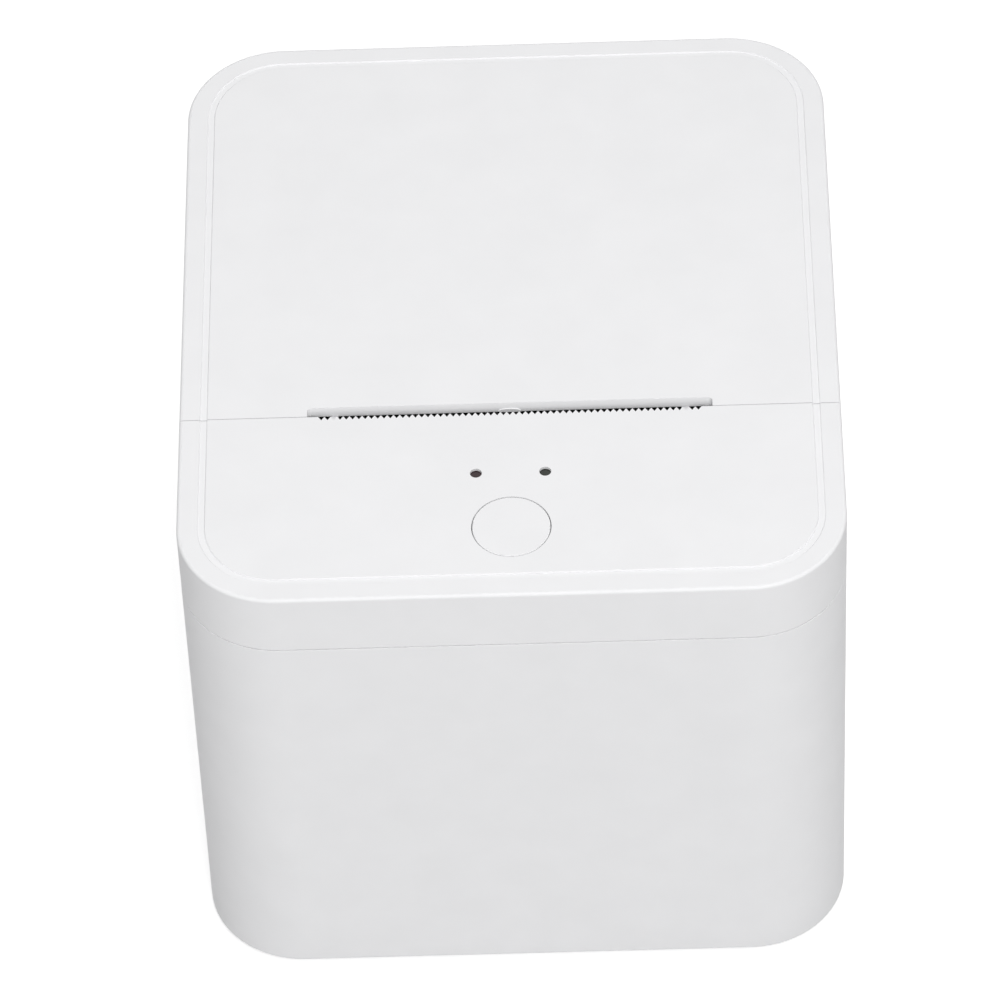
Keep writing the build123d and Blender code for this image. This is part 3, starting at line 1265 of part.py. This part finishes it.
def make_paper_sensor():
    """The sensor in the shelf, halfway between head and bin."""
    x0 = SENSOR_X - SENSOR_LENGTH / 2
    x1 = SENSOR_X + SENSOR_LENGTH / 2
    y = (HEAD_FACE_Y + BIN_FRONT_Y) / 2
    top = SHELF_Z + SENSOR_RISE
    return block(x0, x1, y - SENSOR_WIDTH / 2, y + SENSOR_WIDTH / 2, top - SENSOR_HEIGHT, top)


def make_main_board():
    half = MAIN_BOARD_HALF
    board = block(-half, half, MAIN_BOARD_FRONT_Y, MAIN_BOARD_REAR_Y, MAIN_BOARD_Z, MAIN_BOARD_TOP_Z)
    holes = [rod_z(x, y, SMALL_SCREW_RADIUS, 0, ALL) for x, y in main_post_places()]
    return cut(board, holes)


def make_main_board_screws():
    places = [(x, y, MAIN_BOARD_TOP_Z) for x, y in main_post_places()]
    return join([small_screw(place, (0, 0, -1)) for place in places])


def make_main_chip():
    half = CHIP_SIZE / 2
    top = MAIN_BOARD_TOP_Z + CHIP_THICKNESS
    return block(-half, half, CHIP_Y - half, CHIP_Y + half, MAIN_BOARD_TOP_Z, top)


def make_capacitors():
    cans = []
    for sx in (-1, 1):
        top = MAIN_BOARD_TOP_Z + CAPACITOR_HEIGHT
        cans.append(rod_z(sx * CAPACITOR_X, CHIP_Y, CAPACITOR_RADIUS, MAIN_BOARD_TOP_Z, top))
    return join(cans)


def make_power_socket():
    half = POWER_SOCKET_WIDTH / 2
    x = POWER_SOCKET_X
    top = MAIN_BOARD_TOP_Z + POWER_SOCKET_HEIGHT
    z = (MAIN_BOARD_TOP_Z + top) / 2
    rear = PANEL_Y - POWER_SOCKET_SINK
    hole_end = rear - POWER_HOLE_DEPTH
    body = block(x - half, x + half, rear - POWER_SOCKET_LENGTH, rear, MAIN_BOARD_TOP_Z, top)
    body = body - rod_y(x, z, POWER_HOLE_RADIUS, hole_end, rear + PAST)
    return body + rod_y(x, z, POWER_PIN_RADIUS, hole_end - OVERLAP, rear - POWER_PIN_SINK)


def make_data_socket():
    half = DATA_SOCKET_WIDTH / 2
    x = DATA_SOCKET_X
    top = MAIN_BOARD_TOP_Z + DATA_SOCKET_HEIGHT
    z = (MAIN_BOARD_TOP_Z + top) / 2
    rear = PANEL_Y + DATA_SOCKET_RISE
    hole_end = rear - DATA_HOLE_DEPTH
    body = block(x - half, x + half, rear - DATA_SOCKET_LENGTH, rear, MAIN_BOARD_TOP_Z, top)
    half = DATA_HOLE_WIDTH / 2
    z_half = DATA_HOLE_HEIGHT / 2
    body = body - block(x - half, x + half, hole_end, rear + PAST, z - z_half, z + z_half)
    half = DATA_TONGUE_WIDTH / 2
    z_half = DATA_TONGUE_HEIGHT / 2
    tongue_rear = rear - DATA_SHELL
    return body + block(x - half, x + half, hole_end - OVERLAP, tongue_rear, z - z_half, z + z_half)


def rocker_pivot_y():
    return PANEL_Y + SWITCH_BEZEL_THICKNESS - ROCKER_RISE


def switch_block(width, height, y0, y1):
    """A block about the switch's middle, as seen from the back."""
    x0 = SWITCH_X - width / 2
    x1 = SWITCH_X + width / 2
    return block(x0, x1, y0, y1, SWITCH_Z - height / 2, SWITCH_Z + height / 2)


def make_switch_housing():
    face_y = PANEL_Y + SWITCH_BEZEL_THICKNESS
    pivot_y = rocker_pivot_y()
    bezel = switch_block(SWITCH_BEZEL_WIDTH, SWITCH_BEZEL_HEIGHT, PANEL_Y, face_y)
    bezel = fillet(bezel.edges().filter_by(Axis.Y), SWITCH_CORNER_RADIUS)
    front = PANEL_Y - SWITCH_BODY_LENGTH
    body = switch_block(SWITCH_BODY_WIDTH, SWITCH_BODY_HEIGHT, front, face_y)
    well_width = ROCKER_WIDTH + 2 * ROCKER_GAP
    well_height = ROCKER_HEIGHT + 2 * ROCKER_SIDE_GAP
    well = switch_block(well_width, well_height, pivot_y - ROCKER_WELL_DEPTH, face_y + PAST)
    reach = ROCKER_HEIGHT / 2 + ROCKER_PIN_LENGTH + 2 * RUNNING_CLEARANCE
    radius = ROCKER_PIN_RADIUS + RUNNING_CLEARANCE
    pins = rod_z(SWITCH_X, pivot_y, radius, SWITCH_Z - reach, SWITCH_Z + reach)
    return cut(bezel + body, [well, pins])


def make_power_rocker():
    """The rocker, tipped to one side, on pins along Z."""
    half = ROCKER_WIDTH / 2
    outline = [
        (half, ROCKER_RISE),
        (0, ROCKER_RISE - ROCKER_DIP),
        (-half, ROCKER_RISE),
        (-half + ROCKER_TAPER, ROCKER_SHOULDER),
        (-ROCKER_KEEL_WIDTH / 2, -ROCKER_KEEL_DEPTH),
        (ROCKER_KEEL_WIDTH / 2, -ROCKER_KEEL_DEPTH),
        (half - ROCKER_TAPER, ROCKER_SHOULDER),
    ]
    face = Polygon(*outline, align=None)
    lever = Pos(0, 0, -ROCKER_HEIGHT / 2) * extrude(face, ROCKER_HEIGHT)
    reach = ROCKER_HEIGHT / 2 + ROCKER_PIN_LENGTH
    lever = lever + rod_z(0, 0, ROCKER_PIN_RADIUS, -reach, reach)
    return Pos(SWITCH_X, rocker_pivot_y(), SWITCH_Z) * Rot(0, 0, -ROCKER_TILT) * lever


PARTS = {
    "lower_body": make_lower_body,
    "base_plate": make_base_plate,
    "rubber_feet": make_rubber_feet,
    "base_screws": make_base_screws,
    "front_cover": make_front_cover,
    "cover_screws": make_cover_screws,
    "feed_button": make_feed_button,
    "switch_plunger": make_switch_plunger,
    "button_switch": make_button_switch,
    "button_board": make_button_board,
    "button_board_screws": make_button_board_screws,
    "lamps": make_lamps,
    "red_lens": lambda: make_lens(-1),
    "green_lens": lambda: make_lens(1),
    "lid": make_lid,
    "lid_liner": make_lid_liner,
    "liner_screws": make_liner_screws,
    "hinge_pins": make_hinge_pins,
    "platen_roller": make_platen_roller,
    "platen_shaft": make_platen_shaft,
    "platen_bushes": make_platen_bushes,
    "platen_gear": lambda: gear(PLATEN_TEETH, platen_phase(), PLATEN_Y, PLATEN_Z, PLATEN_SHAFT_RADIUS),
    "idler_gear": lambda: gear(
        IDLER_TEETH, idler_phase(), IDLER_Y, IDLER_Z, IDLER_STUD_RADIUS + RUNNING_CLEARANCE
    ),
    "idler_stud": make_idler_stud,
    "motor_pinion": lambda: gear(PINION_TEETH, pinion_phase(), MOTOR_Y, MOTOR_Z, MOTOR_SHAFT_RADIUS),
    "motor_shaft": make_motor_shaft,
    "stepper_motor": make_motor,
    "motor_screws": make_motor_screws,
    "mechanism_frame": make_mechanism_frame,
    "frame_screws": make_frame_screws,
    "head_pivot_rod": make_pivot_rod,
    "head_heat_sink": make_head_heat_sink,
    "thermal_head": make_thermal_head,
    "head_springs": make_head_springs,
    "latch_springs": make_latch_springs,
    "paper_bin": make_paper_bin,
    "deck_screws": make_deck_screws,
    "paper_sensor": make_paper_sensor,
    "main_board": make_main_board,
    "main_board_screws": make_main_board_screws,
    "main_chip": make_main_chip,
    "capacitors": make_capacitors,
    "power_socket": make_power_socket,
    "data_socket": make_data_socket,
    "switch_housing": make_switch_housing,
    "power_rocker": make_power_rocker,
}


def main():
    os.makedirs("parts", exist_ok=True)
    for name, make in PARTS.items():
        export_step(make(), os.path.join("parts", name + ".step"))


main()
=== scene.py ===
import json
from math import cos, pi, radians, sin

import bmesh
import bpy
from mathutils import Matrix, Vector


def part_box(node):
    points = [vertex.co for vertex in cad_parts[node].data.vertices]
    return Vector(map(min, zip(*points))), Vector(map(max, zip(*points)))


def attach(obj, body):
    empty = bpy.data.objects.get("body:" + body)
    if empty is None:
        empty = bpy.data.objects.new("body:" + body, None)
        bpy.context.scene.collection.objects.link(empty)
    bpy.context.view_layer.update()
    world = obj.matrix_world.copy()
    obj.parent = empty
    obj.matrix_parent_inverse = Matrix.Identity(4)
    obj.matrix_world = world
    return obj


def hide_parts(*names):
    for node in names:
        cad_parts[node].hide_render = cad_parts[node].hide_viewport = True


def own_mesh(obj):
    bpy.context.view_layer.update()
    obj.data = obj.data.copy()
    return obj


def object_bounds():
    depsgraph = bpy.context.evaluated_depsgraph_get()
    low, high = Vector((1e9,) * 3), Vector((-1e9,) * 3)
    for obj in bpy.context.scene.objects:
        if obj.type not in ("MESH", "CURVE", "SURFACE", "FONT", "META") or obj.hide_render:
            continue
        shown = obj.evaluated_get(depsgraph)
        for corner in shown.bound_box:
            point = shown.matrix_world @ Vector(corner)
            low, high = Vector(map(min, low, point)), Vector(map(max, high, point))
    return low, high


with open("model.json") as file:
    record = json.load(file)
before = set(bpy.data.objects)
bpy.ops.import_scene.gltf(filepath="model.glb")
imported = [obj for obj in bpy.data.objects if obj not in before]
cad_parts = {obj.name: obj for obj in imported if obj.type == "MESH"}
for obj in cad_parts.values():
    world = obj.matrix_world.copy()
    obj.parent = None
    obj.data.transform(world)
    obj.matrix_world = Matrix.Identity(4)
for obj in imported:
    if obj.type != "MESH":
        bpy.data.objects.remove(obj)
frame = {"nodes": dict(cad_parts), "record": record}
CAD_BOX = [list(corner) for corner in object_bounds()]
NODES = frame["nodes"]
MM = 0.001

# The photograph's camera, found by fitting the case's outline, front edge and seams
CAMERA_AZIMUTH = 1.4855
CAMERA_ELEVATION = 48.1836
CAMERA_ROLL = -2.7088
CAMERA_DISTANCE = 1059.1 * MM
FOCAL_PIXELS = 6917.5
TOP_CENTRE_PIXEL = (508.286, 308.725)
IMAGE_SIZE = 1000
SENSOR_WIDTH = 36.0

# Colours, as linear values
WHITE = (1, 1, 1, 1)
SHELL_WHITE = (0.815, 0.815, 0.825)
INNER_GREY = (0.56, 0.56, 0.57)
# Black plastic of the mechanism; the lid liner wears it too, which paints shade into the gap under the
# paper slot so that the gap reads black
DARK_GREY_AND_SLOT_SHADE = (0.022, 0.022, 0.024)
GEAR_CREAM = (0.78, 0.76, 0.70)
PLATEN_BLACK = (0.028, 0.028, 0.03)
FOOT_BLACK = (0.05, 0.05, 0.053)
STEEL_GREY = (0.62, 0.62, 0.64)
SCREW_GREY = (0.50, 0.50, 0.52)
ALUMINIUM_GREY = (0.70, 0.71, 0.72)
BRONZE_BROWN = (0.60, 0.40, 0.20)
CERAMIC_BROWN = (0.06, 0.045, 0.04)
BOARD_GREEN = (0.010, 0.10, 0.035)
TRACK_GREEN = (0.025, 0.19, 0.07)
LENS_RED = (0.018, 0.004, 0.006)
LENS_GREEN = (0.012, 0.015, 0.011)
LAMP_CREAM = (0.80, 0.76, 0.60)
FLOOR_WHITE = (0.70, 0.70, 0.70)

# Most values of a noise texture lie between these two
NOISE_LOW = 0.3
NOISE_HIGH = 0.7

# Texture sizes, in lumps per millimetre
PLASTIC_COLOUR_SCALE = 0.12
PLASTIC_GLOSS_SCALE = 0.4
METAL_COLOUR_SCALE = 0.5
METAL_LINE_SCALE = 0.6
LENS_COLOUR_SCALE = 1.2
LENS_GRAIN_SCALE = 2.0
TRACK_SCALE = 0.35

# How far colour and roughness drift over a surface
METAL_COLOUR_CHANGE = 0.05
LENS_COLOUR_CHANGE = 0.25
PLASTIC_ROUGHNESS_SPREAD = 0.04
METAL_SMOOTHER = 0.08
METAL_ROUGHER = 0.1

# Surfaces that have one roughness all over
LENS_ROUGHNESS = 0.18
LENS_COAT = 0.15
BOARD_ROUGHNESS = 0.28
FLOOR_ROUGHNESS = 0.9

# Fine relief: its depth, and how strongly it shows
METAL_LINE_DEPTH = 0.004 * MM
LENS_GRAIN_DEPTH = 0.01 * MM
TRACK_DEPTH = 0.02 * MM
PLASTIC_RELIEF = 0.6
METAL_RELIEF = 0.5
LENS_RELIEF = 0.4
TRACK_RELIEF = 0.3

# The springs behind the print head
SPRING_WIRE_RADIUS = 0.35 * MM
SPRING_TURNS = 5
SPRING_STEPS = 28
SPRING_WIRE_SIDES = 12

# The floor lies a hair below the feet, and glows only where it is seen directly
FLOOR_SIZE = 6.0
FLOOR_GAP = 0.05 * MM
FLOOR_GLOW = 0.55

# Light from all round, and how bright the backdrop looks
WORLD_LIGHT = 0.33
BACKDROP_LIGHT = 1.0

# The two lamps: place, size and power, with both aimed near the middle of the case
LIGHT_TARGET = (0, 0, 0.045)
OVERHEAD_PLACE = (0.05, 0.05, 1.3)
OVERHEAD_SIZE = 0.9
OVERHEAD_POWER = 5.4
FRONT_PLACE = (0.15, -1.03, 1.15)
FRONT_SIZE = 0.6
FRONT_POWER = 12.8


def add_object(name, data):
    """A new object, put into the scene."""
    thing = bpy.data.objects.new(name, data)
    bpy.context.scene.collection.objects.link(thing)
    return thing


def camera_axes():
    """The camera's right, up and backward directions."""
    a = radians(CAMERA_AZIMUTH)
    e = radians(CAMERA_ELEVATION)
    r = radians(CAMERA_ROLL)
    back = Vector((sin(a) * cos(e), -cos(a) * cos(e), sin(e)))
    right = Vector((cos(a), sin(a), 0))
    up = back.cross(right)
    return right * cos(r) + up * sin(r), up * cos(r) - right * sin(r), back


def make_camera():
    """The photograph's camera, placed so that the middle of the top falls on its pixel."""
    right, up, back = camera_axes()
    scale = CAMERA_DISTANCE / FOCAL_PIXELS
    middle = IMAGE_SIZE / 2
    across = (TOP_CENTRE_PIXEL[0] - middle) * scale
    down = (TOP_CENTRE_PIXEL[1] - middle) * scale
    top = Vector((0, 0, CAD_BOX[1][2]))
    data = bpy.data.cameras.new("camera")
    data.sensor_width = SENSOR_WIDTH
    data.lens = FOCAL_PIXELS / IMAGE_SIZE * SENSOR_WIDTH
    camera = add_object("camera", data)
    matrix = Matrix((right, up, back)).transposed().to_4x4()
    matrix.translation = top - right * across + up * down + back * CAMERA_DISTANCE
    camera.matrix_world = matrix
    bpy.context.scene.camera = camera


def new_material(name):
    material = bpy.data.materials.new(name)
    material.use_nodes = True
    tree = material.node_tree
    shader = tree.nodes["Principled BSDF"]
    return material, tree, shader


def noise(tree, scale, detail=3.0, roughness=0.5):
    """A noise texture over the object's own coordinates, with scale in lumps per millimetre."""
    place = tree.nodes.new("ShaderNodeTexCoord")
    texture = tree.nodes.new("ShaderNodeTexNoise")
    texture.inputs["Scale"].default_value = scale / MM
    texture.inputs["Detail"].default_value = detail
    texture.inputs["Roughness"].default_value = roughness
    tree.links.new(place.outputs["Object"], texture.inputs["Vector"])
    return texture


def ramp(tree, source, low, high):
    """Spread a texture's value between two numbers."""
    spread = tree.nodes.new("ShaderNodeMapRange")
    spread.inputs["From Min"].default_value = NOISE_LOW
    spread.inputs["From Max"].default_value = NOISE_HIGH
    spread.inputs["To Min"].default_value = low
    spread.inputs["To Max"].default_value = high
    tree.links.new(source, spread.inputs["Value"])
    return spread.outputs["Result"]


def add_bump(tree, shader, height, distance, strength):
    """Fine relief that follows a texture's value."""
    bump = tree.nodes.new("ShaderNodeBump")
    bump.inputs["Strength"].default_value = strength
    bump.inputs["Distance"].default_value = distance
    tree.links.new(height, bump.inputs["Height"])
    tree.links.new(bump.outputs["Normal"], shader.inputs["Normal"])


def mixed_colour(tree, shader, source, first, second):
    """The base colour, which runs from the first to the second as the texture's value rises."""
    mix = tree.nodes.new("ShaderNodeMix")
    mix.data_type = "RGBA"
    mix.inputs["A"].default_value = (*first, 1)
    mix.inputs["B"].default_value = (*second, 1)
    tree.links.new(ramp(tree, source, 0.0, 1.0), mix.inputs["Factor"])
    tree.links.new(mix.outputs["Result"], shader.inputs["Base Color"])


def varied_colour(tree, shader, colour, change, scale):
    """The colour, drifting a little lighter and darker over the surface."""
    darker = [channel * (1 - change) for channel in colour]
    lighter = [min(channel * (1 + change), 1.0) for channel in colour]
    mixed_colour(tree, shader, noise(tree, scale).outputs["Fac"], darker, lighter)


def plastic(name, colour, roughness=0.55, change=0.012, grain=3.0, depth=0.006, gloss=0.15):
    """Moulded plastic or rubber: a fine grain and faint changes of colour and roughness."""
    material, tree, shader = new_material(name)
    varied_colour(tree, shader, colour, change, PLASTIC_COLOUR_SCALE)
    shader.inputs["Specular IOR Level"].default_value = gloss
    sheen = noise(tree, PLASTIC_GLOSS_SCALE).outputs["Fac"]
    smoothest = roughness - PLASTIC_ROUGHNESS_SPREAD
    roughest = roughness + PLASTIC_ROUGHNESS_SPREAD
    tree.links.new(ramp(tree, sheen, smoothest, roughest), shader.inputs["Roughness"])
    fine = noise(tree, grain, detail=4.0, roughness=0.6)
    add_bump(tree, shader, fine.outputs["Fac"], depth * MM, PLASTIC_RELIEF)
    return material


def brushed(name, colour, roughness=0.3, stretch=(1, 14, 14)):
    """Metal with fine lines along X, or with an even grain where the stretch is even."""
    material, tree, shader = new_material(name)
    shader.inputs["Metallic"].default_value = 1.0
    varied_colour(tree, shader, colour, METAL_COLOUR_CHANGE, METAL_COLOUR_SCALE)
    place = tree.nodes.new("ShaderNodeTexCoord")
    mapping = tree.nodes.new("ShaderNodeMapping")
    mapping.inputs["Scale"].default_value = stretch
    lines = tree.nodes.new("ShaderNodeTexNoise")
    lines.inputs["Scale"].default_value = METAL_LINE_SCALE / MM
    lines.inputs["Detail"].default_value = 5.0
    tree.links.new(place.outputs["Object"], mapping.inputs["Vector"])
    tree.links.new(mapping.outputs["Vector"], lines.inputs["Vector"])
    smoothest = roughness - METAL_SMOOTHER
    roughest = roughness + METAL_ROUGHER
    tree.links.new(ramp(tree, lines.outputs["Fac"], smoothest, roughest), shader.inputs["Roughness"])
    add_bump(tree, shader, lines.outputs["Fac"], METAL_LINE_DEPTH, METAL_RELIEF)
    return material


def lens(name, colour):
    """The dark tinted plastic of an unlit light pipe, under a thin clear coat."""
    material, tree, shader = new_material(name)
    varied_colour(tree, shader, colour, LENS_COLOUR_CHANGE, LENS_COLOUR_SCALE)
    shader.inputs["Roughness"].default_value = LENS_ROUGHNESS
    shader.inputs["Coat Weight"].default_value = LENS_COAT
    fine = noise(tree, LENS_GRAIN_SCALE)
    add_bump(tree, shader, fine.outputs["Fac"], LENS_GRAIN_DEPTH, LENS_RELIEF)
    return material


def board_material():
    """Solder mask with copper tracks showing faintly through it."""
    material, tree, shader = new_material("board")
    place = tree.nodes.new("ShaderNodeTexCoord")
    tracks = tree.nodes.new("ShaderNodeTexVoronoi")
    tracks.distance = "CHEBYCHEV"
    tracks.inputs["Scale"].default_value = TRACK_SCALE / MM
    tree.links.new(place.outputs["Object"], tracks.inputs["Vector"])
    mixed_colour(tree, shader, tracks.outputs["Distance"], BOARD_GREEN, TRACK_GREEN)
    shader.inputs["Roughness"].default_value = BOARD_ROUGHNESS
    add_bump(tree, shader, tracks.outputs["Distance"], TRACK_DEPTH, TRACK_RELIEF)
    return material


def make_materials():
    """One material for each slot of the record."""
    return {
        "white_shell": plastic("white_shell", SHELL_WHITE),
        "inner_plastic": plastic("inner_plastic", INNER_GREY, roughness=0.5),
        # Real black of the mechanism, and painted shade where the lid liner shows through the gap
        # under the paper slot
        "dark_plastic": plastic("dark_plastic", DARK_GREY_AND_SLOT_SHADE, roughness=0.42, change=0.2),
        "gear_plastic": plastic("gear_plastic", GEAR_CREAM, roughness=0.38),
        "platen_rubber": plastic("platen_rubber", PLATEN_BLACK, roughness=0.7, grain=6.0, depth=0.012),
        "foot_rubber": plastic("foot_rubber", FOOT_BLACK, roughness=0.75, change=0.1, depth=0.02),
        "steel": brushed("steel", STEEL_GREY),
        "screw_steel": brushed("screw_steel", SCREW_GREY, roughness=0.36, stretch=(3, 3, 3)),
        "aluminium": brushed("aluminium", ALUMINIUM_GREY, roughness=0.4),
        "bush_bronze": brushed("bush_bronze", BRONZE_BROWN, roughness=0.45, stretch=(4, 4, 4)),
        "head_ceramic": plastic("head_ceramic", CERAMIC_BROWN, roughness=0.2, change=0.15),
        "board": board_material(),
        "red_lens": lens("red_lens", LENS_RED),
        "green_lens": lens("green_lens", LENS_GREEN),
        "lamp": plastic("lamp", LAMP_CREAM, roughness=0.25),
    }


def dress_nodes(materials):
    """Give each CAD node the material of its slot."""
    for part in frame["record"]["subparts"]:
        node = NODES[part["node"]]
        node.data.materials.clear()
        node.data.materials.append(materials[part["material_slot"]])


def wire_ring(middle, outward, along):
    """Points round the wire, square to the way that it runs."""
    side = along.cross(outward)
    ring = []
    for index in range(SPRING_WIRE_SIDES):
        angle = 2 * pi * index / SPRING_WIRE_SIDES
        ring.append(middle + (outward * cos(angle) + side * sin(angle)) * SPRING_WIRE_RADIUS)
    return ring


def add_coil(builder, x, z, radius, front, rear):
    """One coil of wire about a line along Y, with a flat face on each end of the wire."""
    steps = SPRING_TURNS * SPRING_STEPS
    pitch = (rear - front) / SPRING_TURNS
    rings = []
    for index in range(steps + 1):
        turn = 2 * pi * index / SPRING_STEPS
        outward = Vector((cos(turn), 0, sin(turn)))
        y = front + pitch * index / SPRING_STEPS
        along = Vector((-2 * pi * radius * sin(turn), pitch, 2 * pi * radius * cos(turn))).normalized()
        middle = Vector((x, y, z)) + outward * radius
        rings.append([builder.verts.new(point) for point in wire_ring(middle, outward, along)])
    for first, second in zip(rings, rings[1:]):
        for index in range(SPRING_WIRE_SIDES):
            after = (index + 1) % SPRING_WIRE_SIDES
            builder.faces.new((first[index], first[after], second[after], second[index]))
    builder.faces.new(list(reversed(rings[0])))
    builder.faces.new(rings[-1])


def make_head_springs(steel):
    """The two springs behind the print head, built as fixed coils of wire in place of the CAD part."""
    low, high = (Vector(corner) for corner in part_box("head_springs"))
    middle_z = (low.z + high.z) / 2
    outer_radius = (high.z - low.z) / 2
    coil_radius = outer_radius - SPRING_WIRE_RADIUS
    front = low.y + SPRING_WIRE_RADIUS
    rear = high.y - SPRING_WIRE_RADIUS
    builder = bmesh.new()
    for x in (low.x + outer_radius, high.x - outer_radius):
        add_coil(builder, x, middle_z, coil_radius, front, rear)
    bmesh.ops.recalc_face_normals(builder, faces=builder.faces)
    for face in builder.faces:
        face.smooth = len(face.verts) == 4
    mesh = bpy.data.meshes.new("coil_springs")
    builder.to_mesh(mesh)
    builder.free()
    mesh.materials.append(steel)
    springs = add_object("coil_springs", mesh)
    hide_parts("head_springs")
    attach(springs, "case")
    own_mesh(springs)


def seen_directly(tree):
    """1 for camera, glossy and transmission rays, 0 for the rest."""
    path = tree.nodes.new("ShaderNodeLightPath")
    total = path.outputs["Is Camera Ray"]
    for name in ("Is Glossy Ray", "Is Transmission Ray"):
        add = tree.nodes.new("ShaderNodeMath")
        add.operation = "ADD"
        add.use_clamp = True
        tree.links.new(total, add.inputs[0])
        tree.links.new(path.outputs[name], add.inputs[1])
        total = add.outputs["Value"]
    return total


def floor_material():
    """Matt white, with a glow where it is seen directly that lights nothing else."""
    material, tree, shader = new_material("floor")
    shader.inputs["Base Color"].default_value = (*FLOOR_WHITE, 1)
    shader.inputs["Roughness"].default_value = FLOOR_ROUGHNESS
    shader.inputs["Specular IOR Level"].default_value = 0.0
    glow = tree.nodes.new("ShaderNodeEmission")
    glow.inputs["Color"].default_value = WHITE
    lift = tree.nodes.new("ShaderNodeMath")
    lift.operation = "MULTIPLY"
    lift.inputs[1].default_value = FLOOR_GLOW
    tree.links.new(seen_directly(tree), lift.inputs[0])
    tree.links.new(lift.outputs["Value"], glow.inputs["Strength"])
    total = tree.nodes.new("ShaderNodeAddShader")
    tree.links.new(shader.outputs["BSDF"], total.inputs[0])
    tree.links.new(glow.outputs["Emission"], total.inputs[1])
    tree.links.new(total.outputs["Shader"], tree.nodes["Material Output"].inputs["Surface"])
    return material


def make_floor():
    mesh = bpy.data.meshes.new("floor")
    builder = bmesh.new()
    bmesh.ops.create_grid(builder, x_segments=1, y_segments=1, size=FLOOR_SIZE)
    builder.to_mesh(mesh)
    builder.free()
    mesh.materials.append(floor_material())
    floor = add_object("floor", mesh)
    floor.location.z = -FLOOR_GAP


def make_world():
    """Even light from all round, with a white backdrop where it is seen directly."""
    world = bpy.data.worlds.new("studio")
    bpy.context.scene.world = world
    world.use_nodes = True
    tree = world.node_tree
    tree.nodes.clear()
    mix = tree.nodes.new("ShaderNodeMixShader")
    tree.links.new(seen_directly(tree), mix.inputs["Fac"])
    for index, strength in ((1, WORLD_LIGHT), (2, BACKDROP_LIGHT)):
        light = tree.nodes.new("ShaderNodeBackground")
        light.inputs["Color"].default_value = WHITE
        light.inputs["Strength"].default_value = strength
        tree.links.new(light.outputs["Background"], mix.inputs[index])
    output = tree.nodes.new("ShaderNodeOutputWorld")
    tree.links.new(mix.outputs["Shader"], output.inputs["Surface"])


def area_light(name, place, size, power):
    """A square soft light aimed near the middle of the case."""
    data = bpy.data.lights.new(name, "AREA")
    data.size = size
    data.energy = power
    light = add_object(name, data)
    light.location = place
    aim = Vector(LIGHT_TARGET) - Vector(place)
    light.rotation_euler = aim.to_track_quat("-Z", "Y").to_euler()


def make_lights():
    area_light("overhead", OVERHEAD_PLACE, OVERHEAD_SIZE, OVERHEAD_POWER)
    area_light("front", FRONT_PLACE, FRONT_SIZE, FRONT_POWER)


def main():
    make_camera()
    materials = make_materials()
    dress_nodes(materials)
    make_head_springs(materials["steel"])
    make_floor()
    make_world()
    make_lights()
    bpy.context.scene.view_settings.view_transform = "Standard"


main()
